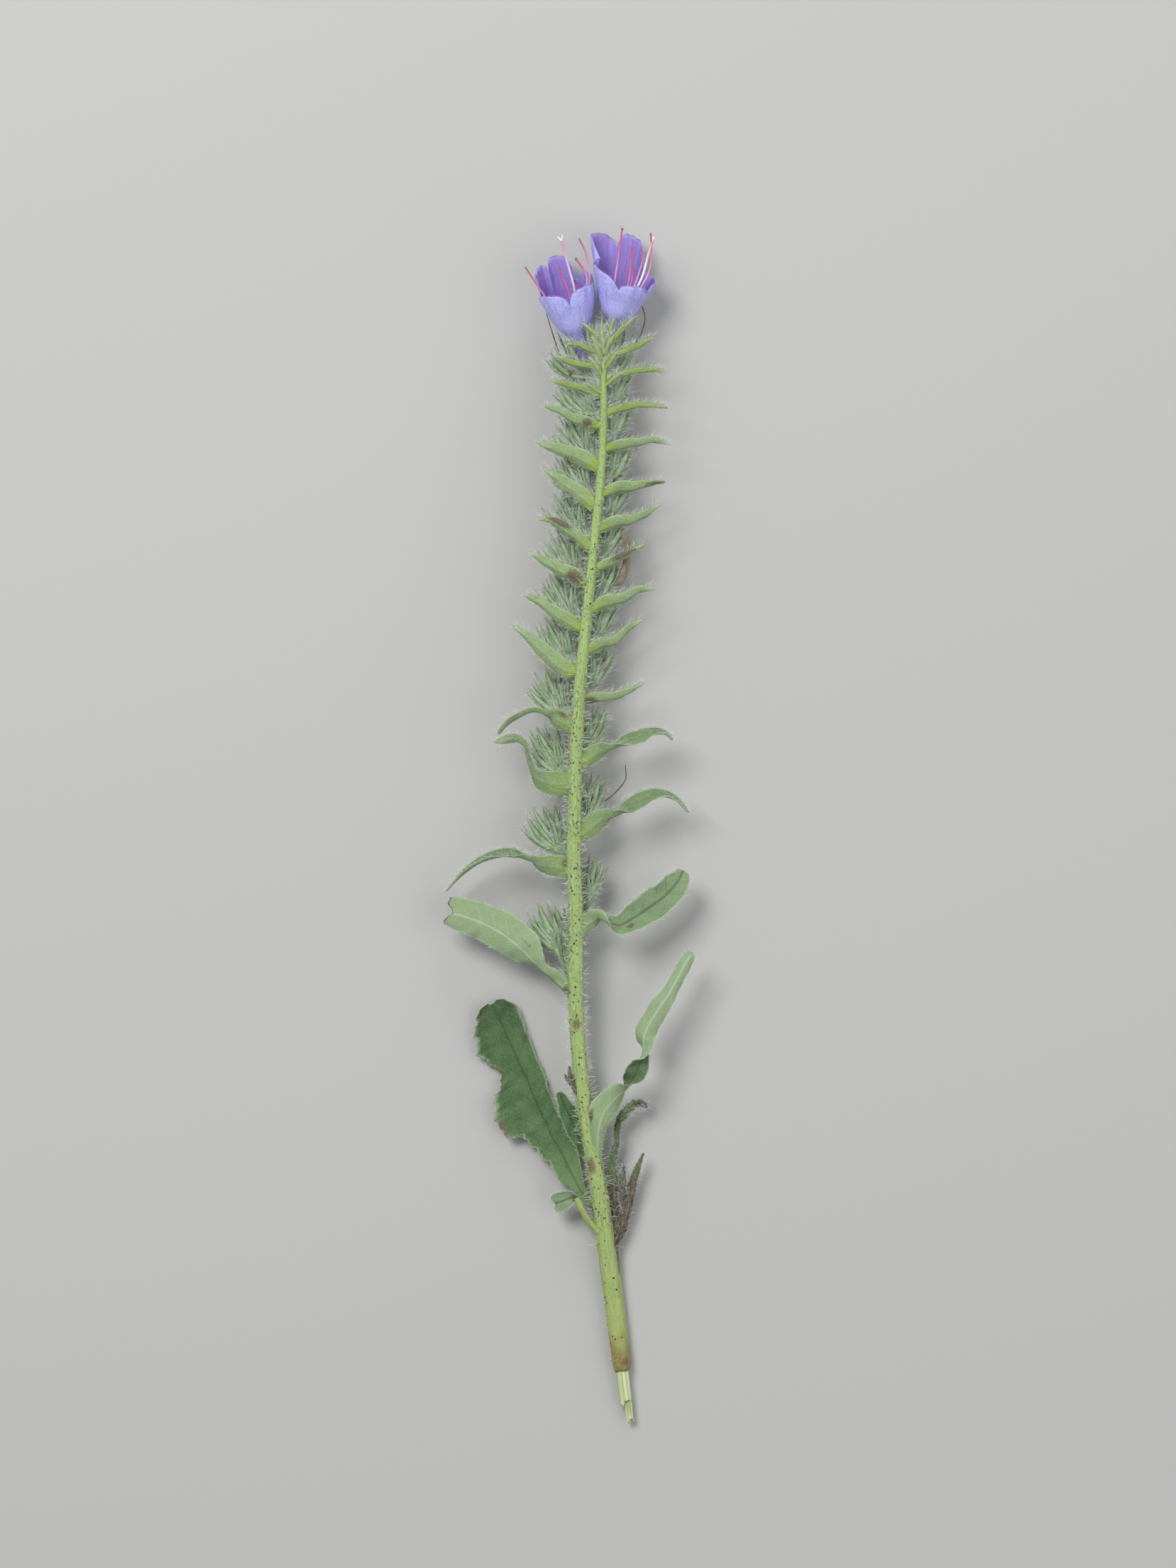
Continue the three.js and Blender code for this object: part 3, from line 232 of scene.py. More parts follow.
# The open flowers: the foot of the tube, its lean, the rim's lobes and notches (angle, out,
# height), the filaments (angle in the tube, then points), the anthers' sizes, the style, its fork,
# where its stalk leaves the stem, and the foot and tip of the closed bud beside it.
FLOWERS = {
    "left": {
        "base": (2.3, 71.5, 6.8),
        "lean": 15,
        "lobes": [
            (38, 4.7, 10.9), (108, 4.4, 12.7), (180, 4.0, 16.4), (238, 3.9, 15.3),
            (315, 4.7, 10.9),
        ],
        "notches": [
            (0, 4.0, 8.4), (76, 4.2, 9.2), (146, 3.7, 11.6), (212, 3.5, 13.0), (280, 4.2, 9.6),
        ],
        "filaments": [
            (270, (-3.8, 81.2, 8.2), (-6.6, 85.3, 9.0)),
            (10, (0.14, 80.9, 9.6), (-1.5, 85.1, 10.6)),
            (55, (2.7, 82.8, 9.4), (2.3, 84.9, 9.8), (1.1, 86.6, 10.4)),
            (110, (3.05, 82.8, 8.4), (2.9, 85.7, 8.6), (2.5, 87.8, 9.0), (1.5, 89.9, 9.4)),
            (170, (1.3, 82.2, 6.9), (0.9, 83.45, 7.1)),
        ],
        "anthers": (1, 0.65, 1, 0, 0.5),
        "style": [(0.87, 81.6, 8.0), (0.03, 85.1, 8.6), (-1.2, 89.5, 9.4)],
        "fork": [(-1.9, 90.2, 9.4), (-0.9, 90.6, 9.6)],
        "stalk_from": 66.4,
        "bud": [(0.2, 69.0, 6.9), (-3.7, 71.2, 6.7)],
    },
    "right": {
        "base": (6.85, 73.4, 6.5),
        "lean": -8,
        "lobes": [
            (26, 4.5, 9.7), (95, 5.0, 11.0), (166, 3.9, 17.1), (243, 6.3, 16.8), (292, 5.1, 12.1),
        ],
        "notches": [
            (-6, 4.0, 8.6), (60, 4.3, 8.6), (126, 3.8, 11.6), (204, 4.3, 15.0), (272, 3.7, 12.9),
        ],
        "filaments": [
            (280, (6.9, 82.6, 9.4), (7.5, 86.8, 10.0), (8.1, 91.15, 10.4)),
            (340, (9.0, 82.8, 9.2), (9.6, 88.45, 9.8)),
            (90, (10.0, 82.6, 8.4), (11.3, 86.8, 9.0), (11.0, 88.45, 9.2)),
            (125, (10.85, 82.2, 7.4), (12.3, 85.1, 7.7), (12.6, 88.0, 7.9), (12.5, 90.5, 8.3)),
            (180, (9.4, 82.8, 7.2), (9.8, 85.5, 7.4)),
        ],
        "anthers": (0.9, 0.55, 0.65, 0.7, 0.45),
        "style": [(10.3, 82.2, 9.6), (11.4, 84.7, 9.9), (12.1, 87.4, 10.1), (12.8, 89.5, 10.3)],
        "fork": [(12.9, 90.3, 10.5), (13.2, 90.1, 10.2)],
        "stalk_from": 69.4,
        "bud": [(7.75, 69.9, 7.1), (9.3, 73.2, 6.2)],
    },
}
TUBE = [(0, 0), (0.95, 0.15), (1.25, 3.2), (2.45, 5.2), (3.3, 7.0)]
FULLNESS = 0.15
ROUND_LOBES = 0.56
FLOWER_CALYX = {"foot": -2.2, "tip": 5.0, "cup": 2.05, "spread": 3.0, "waist": 0.24}
SEED = 20

# What only the scene has

# The stem: the points round and along it; bands of warts, bristles and fuzz, each from, to and how
# many to the millimetre; where it turns brown; and its purple patches: at, how long, how strong,
# their turn and how sharp.
STEM_GRID, STUB_GRID, WOOD_ROWS = (40, 420), (16, 20), (24, 20)
WART_BANDS = [(-83, -62, 2.6), (-62, 20, 4.2), (20, 50, 2.2)]
BRISTLE_BANDS = [(-62, -45, 7), (-45, 25, 11), (25, 66, 12)]
FUZZ_BANDS = [(-84, -60, 8), (-60, 30, 26), (30, 73, 26)]
WART_RADIUS = (0.09, 0.19)
BARE_BELOW, BARE_SHARE = -62, 0.15  # few warts have a bristle low on the stem
STEM_BRISTLES, BRISTLE_WIDTHS = (0.9, 1.9), ([0.7, 1.9], [0.038, 0.064])
BROWN_BELOW, BROWN_FADE = -76.0, 6.0
PURPLE = [(-30.4, 1.4, 0.8, 0, 2), (-52.2, 1.8, 0.95, -0.5, 3), (-82.6, 0.9, 0.8, 0.5, 3)]
WOOD_LENGTH = 4.6

# A calyx lobe's half width along it; its stalks' radii; how many bristles stand on the edges and on
# the keel of each lobe; and how many silky hairs there are.
LOBE_OUTLINE = ([0, 0.1, 0.3, 0.55, 0.8, 0.95, 1], [0.33, 0.4, 0.45, 0.42, 0.28, 0.11, 0.02])
NECK_RADIUS, NECK_GROWTH, TRUNK_RADIUS = 0.24, 0.14, 0.42
BRISTLES, YOUNG_BRISTLES, FLOWER_BRISTLES = (21, 7), (11, 3), (34, 18)
HAIR_WIDTH, FOOT_SILK, CYME_SILK, FLOWER_SILK = 0.03, 22, 165, 240
CYME_SEEDS, SILK_SEED = {"left": 900, "right": 950}, 61
LOW_CYMES, LOW_FLUSH, HIGH_FLUSH = 20, 0.9, 0.2

# The flowers' walls and threads.
WALL, RIM_THINNING, RUFFLE, FRILL, PLEAT = 0.13, 0.08, 0.11, 0.05, 0.1
FLARE_FROM, SIDE_SWING = 0.6, 7
PETAL_SEED, ANTHER_SEED = 31, 41
SIDE_VEINS = (-0.3, -0.16, 0.16, 0.3)
PETAL_GRID, PETAL_HAIRS, RIM_HAIRS = (150, 96), 1700, 420
FILAMENT_HEIGHTS, PLUG_HEIGHTS, STYLE_HEIGHTS = (1.0, 2.6, 4.2), (0.6, 1.0, 1.3), (1.45, 3.0, 4.6)
FILAMENT_RADII = (0.2, 0.125)

# Dried threads and other dead bits: x, y, z, radius. Each dead stalk is green from one share of its
# length to another.
THREADS = [
    [
        (10.98, 80.2, 5.6, 0.06), (11.63, 77.9, 5.8, 0.1), (10.87, 75.0, 6.3, 0.1),
        (9.57, 73.4, 7.0, 0.1),
    ],
    [
        (-3.5, 78.6, 5.4, 0.06), (-2.5, 75.3, 5.7, 0.1), (-1.5, 72.4, 6.2, 0.1),
        (-0.4, 70.0, 6.6, 0.1),
    ],
    [(8.6, 9.3, 5.5, 0.06), (8.6, 7.0, 5.2, 0.1), (6.74, 4.7, 5.4, 0.1), (5.43, 3.75, 6.4, 0.1)],
    [
        (0.7, 69.8, 7.0, 0.06), (0.3, 69.3, 7.4, 0.1), (-0.2, 68.7, 7.9, 0.1),
        (-0.75, 68.1, 8.3, 0.1),
    ],
]
SCALE = [(7.0, -63.6, 2.1, 0.3), (7.35, -67.2, 1.9, 0.3), (7.75, -71.2, 1.6, 0.1)]
DEAD_BUD = [
    [
        (1.5, -41.4, 4.6, 0.4), (0.75, -40.2, 4.9, 0.42), (0.15, -39.0, 5.2, 0.3),
        (-0.1, -38.0, 5.4, 0.1),
    ],
    [
        (1.4, -40.8, 5.0, 0.3), (0.55, -39.2, 5.2, 0.3), (0.1, -37.9, 5.1, 0.26),
        (0.0, -36.9, 5.0, 0.08),
    ],
    [
        (1.4, -40.9, 4.4, 0.3), (0.4, -39.8, 4.5, 0.28), (-0.4, -38.9, 4.5, 0.22),
        (-0.7, -38.2, 4.6, 0.08),
    ],
]
NEVER_GREEN, BUD_GREEN = (3, 4), (0.9, 1.6)
SHOOT_GREENS = [(0.5, 0.95), (0.3, 0.9), (0.2, 0.7), (-0.6, 0.6), NEVER_GREEN]

# Lights: name, place, size, power, in metres and watts, all aimed at one point. The camera looks
# straight down.
LIGHTS = [
    ("key", (-0.35, 0.4, 0.75), 0.4, 6.0), ("fill", (0.6, -0.2, 0.6), 0.8, 2.2),
    ("rim", (0.15, 0.7, 0.25), 0.4, 1.4),
]
LIT_POINT = (0, 0, 0.005)
SKY, SKY_STRENGTH = (0.86, 0.9, 1.0, 1), 0.35
SENSOR, CAMERA_HEIGHT, CAMERA_FIELD = 24, 1.5, 0.24043
CAMERA_CENTRE, STEM_HEIGHT = (0.00288, 0.00636), 0.007


# Curves and directions

def columns(*parts):
    """Numbers side by side, as rows of points or marks."""
    return np.stack(np.broadcast_arrays(*parts), -1)


def unit(vectors):
    return vectors / np.maximum(np.linalg.norm(vectors, axis=-1, keepdims=True), 1e-12)


def bell(x):
    """A soft bump about nought."""
    return np.exp(-(x**2))


def swung(start, end, angle):
    """The direction at an angle from one direction towards another at right angles to it."""
    return start * np.cos(angle)[..., None] + end * np.sin(angle)[..., None]


def follow(rows, t, slope=False):
    """Points, or slopes, of the smooth curve through the rows, at t from 0 to 1."""
    rows = np.asarray(rows, float)
    count = rows.shape[-2]
    place = np.clip(np.asarray(t, float), 0, 1) * (count - 1)
    cell = np.minimum(place.astype(int), count - 2)
    w = (place - cell)[..., None]
    before = 2 * rows[..., :1, :] - rows[..., 1:2, :]
    after = 2 * rows[..., -1:, :] - rows[..., -2:-1, :]
    padded = np.concatenate([before, rows, after], axis=-2)
    if rows.ndim == 2:
        a, b, c, d = (padded[cell + k] for k in range(4))
    else:
        picks = ((cell + k)[..., None, None] for k in range(4))
        a, b, c, d = (np.take_along_axis(padded, pick, axis=-2)[..., 0, :] for pick in picks)
    m, n = (c - a) / 2, (d - b) / 2
    square, cube = -3 * b + 3 * c - 2 * m - n, 2 * b - 2 * c + m + n
    if slope:
        return m + 2 * square * w + 3 * cube * w**2
    return b + m * w + square * w**2 + cube * w**3


def turned(vectors, axis, degrees):
    """Vectors turned about a unit axis."""
    axis = np.asarray(axis, float)
    c, s = math.cos(math.radians(degrees)), math.sin(math.radians(degrees))
    along = (vectors @ axis)[..., None] * axis
    return vectors * c + np.cross(axis, vectors) * s + along * (1 - c)


def aimed(direction):
    """The turn, as a matrix, that brings +Z to a unit direction by the shortest way."""
    x, y, z = np.cross(UP, direction)
    cross = np.array([[0, -z, y], [z, 0, -x], [-y, x, 0]])
    return np.eye(3) + cross + cross @ cross / (1 + direction[2])


def spun(angle):
    """The three directions, one to a row, after a turn about Z."""
    c, s = math.cos(angle), math.sin(angle)
    return np.array([[c, s, 0], [-s, c, 0], [0, 0, 1]])


STEM_SHARES = np.linspace(0, 1, 4001)
STEM_HEIGHTS = follow(STEM, STEM_SHARES)[:, 1]


def stem_share(y):
    return np.interp(y, STEM_HEIGHTS, STEM_SHARES)


def stem_at(y):
    """The stem's centre and radius at a height."""
    row = follow(STEM, stem_share(y))
    return row[..., :3], row[..., 3]


def beside(y, out, degrees, side):
    """A point beside the stem: out from its axis, turned from straight behind towards a side."""
    centre, _ = stem_at(y)
    angle = math.radians(degrees)
    return np.array([
        centre[0] + side * out * math.sin(angle), y, centre[2] - out * math.cos(angle),
    ])


class Draw:
    """The same draws as the solids have."""

    def __init__(self):
        self.state = SEED

    def next(self):
        self.state = (self.state * 1664525 + 1013904223) % 2**32
        return self.state / 2**32

    def spread(self, amount):
        return amount * (2 * self.next() - 1)


# Meshes

def as_mesh(name, bm):
    mesh = bpy.data.meshes.new(name)
    bm.to_mesh(mesh)
    bm.free()
    return mesh


def gathered(meshes):
    """Meshes taken up into one bmesh."""
    bm = bmesh.new()
    for mesh in meshes:
        bm.from_mesh(mesh)
        bpy.data.meshes.remove(mesh)
    return bm


def write_points(mesh, points, marks, floor=TOUCH):
    """A mesh's points and marks. What would lie below the floor is pressed flat on it."""
    points = np.concatenate([points[..., :2], np.maximum(points[..., 2:], floor)], -1)
    mesh.vertices.foreach_set("co", (points * MM).astype(np.float32).ravel())
    for name, values in marks.items():
        layer = mesh.attributes.new(name, "FLOAT_VECTOR", "POINT")
        layer.data.foreach_set("vector", np.asarray(values, np.float32).ravel())


def skin(name, around, along, place, floor=TOUCH):
    """A closed skin: a grid, u round it and v along it, with points and marks from place(u, v)."""
    bm = bmesh.new()
    bmesh.ops.create_grid(bm, x_segments=around, y_segments=along, size=0.5)
    mesh = as_mesh(name, bm)
    flat = np.empty(3 * len(mesh.vertices), np.float32)
    mesh.vertices.foreach_get("co", flat)
    flat = flat.reshape(-1, 3)[:, :2]
    u, v = ((flat - flat.min(0)) / (flat.max(0) - flat.min(0))).T.astype(float)
    write_points(mesh, *place(u, v), floor)
    bm = bmesh.new()
    bm.from_mesh(mesh)
    bmesh.ops.remove_doubles(bm, verts=bm.verts, dist=1e-7)
    bmesh.ops.holes_fill(bm, edges=[edge for edge in bm.edges if edge.is_boundary])
    bmesh.ops.recalc_face_normals(bm, faces=bm.faces)
    bm.to_mesh(mesh)
    bm.free()
    return mesh


def add_object(name, data):
    made = bpy.data.objects.new(name, data)
    bpy.context.scene.collection.objects.link(made)
    return made


def piece(name, mesh, finish, slot=None, *nodes):
    made = add_object(name, mesh)
    mesh.materials.append(FINISHES[finish])
    mesh.polygons.foreach_set("use_smooth", np.ones(len(mesh.polygons), bool))
    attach(made, "root")
    if nodes:
        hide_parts(*nodes)


class Pattern:
    """A small shape, to be copied many times into one mesh."""

    def __init__(self, bm):
        bmesh.ops.remove_doubles(bm, verts=bm.verts, dist=1e-5)
        bmesh.ops.recalc_face_normals(bm, faces=bm.faces)
        bmesh.ops.triangulate(bm, faces=bm.faces)
        bm.verts.index_update()
        self.points = np.array([vertex.co[:] for vertex in bm.verts])
        self.faces = np.array([[vertex.index for vertex in face.verts] for face in bm.faces])
        bm.free()

    def laid(self, *axes):
        """Its points, copy by copy, when x, y and z lie along these directions of each copy."""
        return sum(axis[:, None] * part[:, None] for axis, part in zip(axes, self.points.T))

    def copies(self, name, points, marks=None):
        """A mesh of copies, whose points are given copy by copy."""
        count, size = points.shape[:2]
        corners = (self.faces[None] + size * np.arange(count)[:, None, None]).ravel()
        mesh = bpy.data.meshes.new(name)
        mesh.vertices.add(count * size)
        write_points(mesh, points, marks or {})
        mesh.loops.add(len(corners))
        mesh.loops.foreach_set("vertex_index", corners.astype(np.int32))
        mesh.polygons.add(len(corners) // 3)
        mesh.polygons.foreach_set("loop_start", np.arange(0, len(corners), 3, dtype=np.int32))
        mesh.update(calc_edges=True)
        return mesh


def bristle(*rings):
    """A three-sided spine along +Z, one long, with rings at these heights so that it can bend."""
    bm = bmesh.new()
    bmesh.ops.create_cone(bm, cap_ends=True, segments=3, radius1=1, radius2=0, depth=1)
    bmesh.ops.translate(bm, verts=bm.verts, vec=(0, 0, 0.5))
    for height in rings:
        everything = bm.verts[:] + bm.edges[:] + bm.faces[:]
        bmesh.ops.bisect_plane(bm, geom=everything, plane_co=(0, 0, height), plane_no=(0, 0, 1))
    return Pattern(bm)


def lens(around, along):
    """A thin blade's skin: x across it and y through it, from -1 to 1, and z along it."""
    def place(u, v):
        return columns(-np.cos(TURN * u), np.sin(TURN * u), v) / MM, {}

    return Pattern(gathered([skin("lens", around, along, place, -math.inf)]))


SPECK = bristle()
HAIR = bristle(0.5)
SILK = bristle(0.3, 0.65)
LOBE = lens(6, 9)
NECK = lens(6, 3)


class Down:
    """Hairs collected for one piece: each has a root, an aim, a bend, a length and a width."""

    def __init__(self):
        self.parts = []

    def add(self, roots, aims, lengths, widths, bends=0.0):
        bends = np.broadcast_to(bends, roots.shape)
        sizes = [np.broadcast_to(size, len(roots)) for size in (lengths, widths)]
        self.parts.append((roots, unit(aims), *sizes, bends))

    def make(self, name, finish, pattern=HAIR):
        roots, aims, lengths, widths, bends = (np.concatenate(part) for part in zip(*self.parts))
        across = unit(np.cross(aims, luck.normal(size=aims.shape)))
        height = pattern.points[:, 2]
        long, wide = lengths[:, None], widths[:, None]
        through = np.cross(aims, across)
        points = roots[:, None] + pattern.laid(across * wide, through * wide, aims * long)
        points += (bends * long)[:, None] * (height**2)[:, None]
        points = points[points[..., 2].min(1) > TOUCH]
        own = luck.random((len(points), 1))
        piece(name, pattern.copies(name, points, {"hair": columns(height, own, 0)}), finish)


# Finishes

def tint(code):
    """A colour code as linear light."""
    parts = np.array([int(code[i:i + 2], 16) for i in (0, 2, 4)]) / 255
    light = np.where(parts <= 0.04045, parts / 12.92, ((parts + 0.055) / 1.055) ** 2.4)
    return (*(float(part) for part in light), 1.0)


FINISHES = {}


class Flow:
    """A node's output, which adds, subtracts and multiplies."""

    def __init__(self, finish, socket):
        self.finish, self.socket = finish, socket

    def __add__(self, other):
        return self.finish.work("ADD", self, other)

    __radd__ = __add__

    def __sub__(self, other):
        return self.finish.work("SUBTRACT", self, other)

    def __rsub__(self, other):
        return self.finish.work("SUBTRACT", other, self)

    def __mul__(self, other):
        return self.finish.work("MULTIPLY", self, other)

    __rmul__ = __mul__

    def __abs__(self):
        return self.finish.work("ABSOLUTE", self)


class Finish:
    """One material: a Principled shader and what varies over its surface. Colours are codes."""

    def __init__(self, name, **fixed):
        FINISHES[name] = bpy.data.materials.new(name)
        FINISHES[name].use_nodes = True
        self.tree = FINISHES[name].node_tree
        self.shader = next(n for n in self.tree.nodes if n.type == "BSDF_PRINCIPLED")
        for key, value in fixed.items():
            self.shader.inputs[key.replace("_", " ")].default_value = value

    def node(self, kind, settings=None, inputs=None, out=0):
        made = self.tree.nodes.new(kind)
        for key, value in (settings or {}).items():
            if key == "stops":
                elements = made.color_ramp.elements
                for position, _ in value[1:-1]:
                    elements.new(position)
                for element, (position, code) in zip(elements, value):
                    element.position, element.color = position, tint(code)
            else:
                setattr(made, key, value)
        for key, value in (inputs or {}).items():
            if isinstance(value, Flow):
                self.tree.links.new(value.socket, made.inputs[key])
            else:
                made.inputs[key].default_value = tint(value) if isinstance(value, str) else value
        return Flow(self, made.outputs[out])

    def work(self, operation, *values):
        return self.node("ShaderNodeMath", {"operation": operation}, dict(enumerate(values)))

    def mark(self, name):
        """A mesh's own attribute."""
        return self.node("ShaderNodeAttribute", {"attribute_name": name}, out="Vector")

    def split(self, vector):
        parts = self.node("ShaderNodeSeparateXYZ", None, {0: vector}).socket.node.outputs
        return [Flow(self, part) for part in parts]

    def stretch(self, vector, x, y):
        inputs = {0: vector, 1: (x, y, 1.0)}
        return self.node("ShaderNodeVectorMath", {"operation": "MULTIPLY"}, inputs)

    def noise(self, vector, scale, detail=3.0, roughness=0.55):
        inputs = {"Vector": vector, "Scale": scale, "Detail": detail, "Roughness": roughness}
        return self.node("ShaderNodeTexNoise", None, inputs)

    def smooth(self, value, low, high, start=0.0, end=1.0):
        """Value brought smoothly from low..high to start..end."""
        inputs = {"Value": value, "From Min": low, "From Max": high, "To Min": start, "To Max": end}
        return self.node("ShaderNodeMapRange", {"interpolation_type": "SMOOTHSTEP"}, inputs)

    def ramp(self, value, *stops):
        return self.node("ShaderNodeValToRGB", {"stops": stops}, {0: value})

    def mix(self, share, under, over):
        return self.node("ShaderNodeMix", {"data_type": "RGBA"}, {0: share, 6: under, 7: over}, 2)

    def lay(self, under, over, value, low, high, most=1.0):
        """A colour over another: none of it where value is low, and most of it where it is high."""
        return self.mix(self.smooth(value, low, high, 0.0, most), under, over)

    def feed(self, colour, roughness=None, height=None, strength=0.3, distance=0.0001):
        self.tree.links.new(colour.socket, self.shader.inputs["Base Color"])
        if roughness is not None:
            self.tree.links.new(roughness.socket, self.shader.inputs["Roughness"])
        if height is not None:
            inputs = {"Height": height, "Strength": strength, "Distance": distance}
            bump = self.node("ShaderNodeBump", None, inputs)
            self.tree.links.new(bump.socket, self.shader.inputs["Normal"])


# Each green finish: its pale side, dark side, base, tip, rim and stain, how strong the base's
# colour is, how white the nap and how strong the midrib.
GREENS = {
    "bract": ("88a46c", "6d9056", "8fac14", "b8c8a2", "d6e0c2", "4e3826", 0.9, 0.52, 0.3),
    "lower_bract": ("728f5b", "56794b", "86a04a", "9db087", "c8d4b6", "553a2a", 0.7, 0.5, 0.3),
    "young_bract": ("8aa84a", "729a46", "94ae28", "bccc9a", "d2deb4", "5d4c2a", 0.9, 0.4, 0.3),
    "leaf": ("94ad80", "3d6233", "88a460", "97ae82", "c2d0b0", "50342a", 0.4, 0.32, 0.85),
    "dark_leaf": ("90a87b", "3d6330", "7d9d62", "35541f", "a3b790", "57402f", 0.7, 0.3, 0.85),
    "calyx": ("9abb88", "88aa78", "a8c47a", "aec4a0", "c8d8be", "74544c", 0.6, 0.45, 0.3),
}
VEIN_GAP, VEIN_SLANT = 2.3, 0.9

# Each kind of hair: its colour at the root and at the tip.
HAIR_COLOURS = {
    "bristle": ("ccd6b4", "eff3e8"),
    "silk": ("c6d6c4", "edf3ef"),
    "petal_hair": ("a9a4dc", "dcdcf6"),
    "dead_hair": ("c9c8bd", "e9ebe6"),
    "lying": ("8fa57c", "bccaab"),
}

# The threads in the flowers: roughness, and colours from the foot to the tip.
THREAD_COLOURS = {
    "filament_pink": (0.4, (0.0, "eadcee"), (0.5, "e6bcdc"), (0.78, "da86b0"), (1.0, "bf4a6c")),
    "style_pale": (0.45, (0.0, "e8e4ea"), (0.72, "efe6ee"), (0.9, "e3b4c8"), (1.0, "d48ca4")),
}


def green_finish(name, pale, dark, base, tip, rim, stain, basal, whiten, ribbed):
    """A blade's skin: a pale and a dark side, a yellower base, a paler tip and rim, a stain, a
    midrib with side veins, the lengthwise nap of its hairs and their fine scurf."""
    f = Finish(f"{name}_green", Subsurface_Weight=0.08, Subsurface_Scale=0.0006)
    t, s, face = f.split(f.mark("place"))
    measure = f.mark("measure")
    along, out, _ = f.split(measure)
    blot, depth, fade = f.split(f.mark("marks"))
    nap = f.noise(f.stretch(measure, 0.8, 6.0), 1.7, 4.0, 0.65)
    scurf = f.noise(f.stretch(measure, 0.5, 1.6), 13.0, 2.0, 0.6)
    cloud, grain = f.noise(measure, 0.4), f.noise(measure, 3.4)
    off = abs(out)
    colour = f.mix(depth, pale, dark)
    # Large soft clouds half way to the base colour: partly uneven tone, and partly painted sheen
    # where they lighten the dark faces.
    colour = f.lay(colour, f.mix(0.5, colour, base), cloud, 0.3, 0.7, 0.5)
    colour = f.lay(colour, base, t, 0.3, 0.0, basal)
    colour = f.lay(colour, tip, t, 0.78, 1.0, 0.5)
    swing = f.work("SINE", (along - VEIN_SLANT * off) * (TURN / VEIN_GAP))
    vein = f.smooth(swing, 0.86, 1.0, 0.0, 0.24) * (1 - fade)
    lines = f.work("MAXIMUM", f.smooth(off, 0.26, 0.08, 0.0, ribbed), vein)
    # Midrib and veins: pale lines on the pale face; on the dark face, where they are sunk as
    # grooves, dark lines of painted shade.
    groove_shade, light = f.mix(0.7, colour, "1f3a1c"), f.mix(0.6, colour, rim)
    colour = f.mix(lines, colour, f.lay(groove_shade, light, face, -0.2, 0.2))
    colour = f.lay(colour, rim, abs(s), 0.84, 1.0, 0.75)
    colour = f.lay(colour, rim, nap, 0.52, 0.74, whiten)
    colour = f.lay(colour, f.mix(0.5, colour, "1b2f17"), nap, 0.5, 0.3, 0.4)
    colour = f.lay(colour, rim, scurf, 0.5, 0.72, whiten + 0.1)
    colour = f.lay(colour, f.mix(0.6, colour, "23391b"), scurf, 0.48, 0.3, 0.25)
    colour = f.lay(colour, base, t, 0.24, 0.0, 0.55 * basal)
    brown = f.lay(stain, f.mix(0.24, stain, rim), scurf, 0.35, 0.7)
    colour = f.lay(colour, brown, blot + 0.9 * (grain - 0.5), 0.28, 0.78, 0.92)
    height = nap * 0.7 + grain * 0.35 + scurf * 0.6 - 0.5 * lines
    f.feed(colour, f.smooth(scurf, 0.35, 0.65, 0.68, 0.46), height, 0.65, 0.0002)


def bark_finish():
    """Green bark with streaks, grain and clouds, a brown cut end and purple patches."""
    f = Finish("stem_bark", Subsurface_Weight=0.08, Subsurface_Scale=0.0008)
    t = f.split(f.mark("place"))[0]
    measure = f.mark("measure")
    brown, purple, _ = f.split(f.mark("marks"))
    streak = f.noise(f.stretch(measure, 0.2, 2.6), 1.5, 4.0, 0.6)
    cloud, grain = f.noise(measure, 0.35), f.noise(measure, 4.5)
    colour = f.ramp(t, (0.0, "a8b368"), (0.3, "a9bf72"), (0.65, "a5bf76"), (1.0, "9db75c"))
    colour = f.lay(colour, "86a45a", streak, 0.4, 0.66, 0.7)
    colour = f.lay(colour, "b4c263", cloud, 0.45, 0.75, 0.4)
    colour = f.lay(colour, "cfdab2", grain, 0.54, 0.7, 0.5)
    colour = f.lay(colour, "5f7d3c", grain, 0.45, 0.3, 0.35)
    broken = brown + 1.3 * (cloud - 0.5) + 0.7 * (grain - 0.5)
    colour = f.lay(colour, f.lay("665228", "aa9a56", grain, 0.3, 0.72), broken, 0.35, 0.95, 0.85)
    colour = f.lay(colour, "6b3f3f", purple + 0.9 * (streak - 0.5), 0.35, 0.8, 0.7)
    height = streak * 0.8 + grain * 0.35
    f.feed(colour, f.smooth(grain, 0.3, 0.7, 0.55, 0.4), height, 0.6, 0.00025)


def petal_finish():
    """Petals that are paler outside than inside, with darker veins, crinkles and a pale rim."""
    f = Finish("petal_violet", Subsurface_Weight=0.15, Subsurface_Scale=0.0008)
    k, vein, face = f.split(f.mark("place"))
    measure = f.mark("measure")
    crinkle = f.noise(f.stretch(measure, 0.5, 1.6), 1.3, 4.0, 0.6)
    fine = f.noise(measure, 3.0, 3.0, 0.6)
    outside = f.ramp(k, (0.0, "77508c"), (0.25, "9a88c8"), (0.5, "bab9f5"), (1.0, "afaeee"))
    outside = f.mix(vein * 0.25, outside, "8078cc")
    outside = f.lay(outside, "d2d4fa", fine, 0.48, 0.7, 0.5)
    outside = f.lay(outside, "7a74c8", fine, 0.45, 0.3, 0.4)
    inside = f.ramp(k, (0.0, "6b2c7c"), (0.5, "8656a6"), (0.78, "866fbb"), (1.0, "9084ca"))
    inside = f.mix(vein * 0.75, inside, "93409c")
    colour = f.lay(inside, outside, face, -0.1, 0.1)
    colour = f.lay(colour, f.mix(0.3, colour, "4a3a9c"), crinkle, 0.4, 0.7, 0.35)
    colour = f.lay(colour, "bab6ee", k, 0.98, 1.0, 0.4)
    height = crinkle + 0.3 * fine + 0.6 * vein
    f.feed(colour, f.smooth(fine, 0.3, 0.7, 0.65, 0.5), height, 0.55, 0.0003)


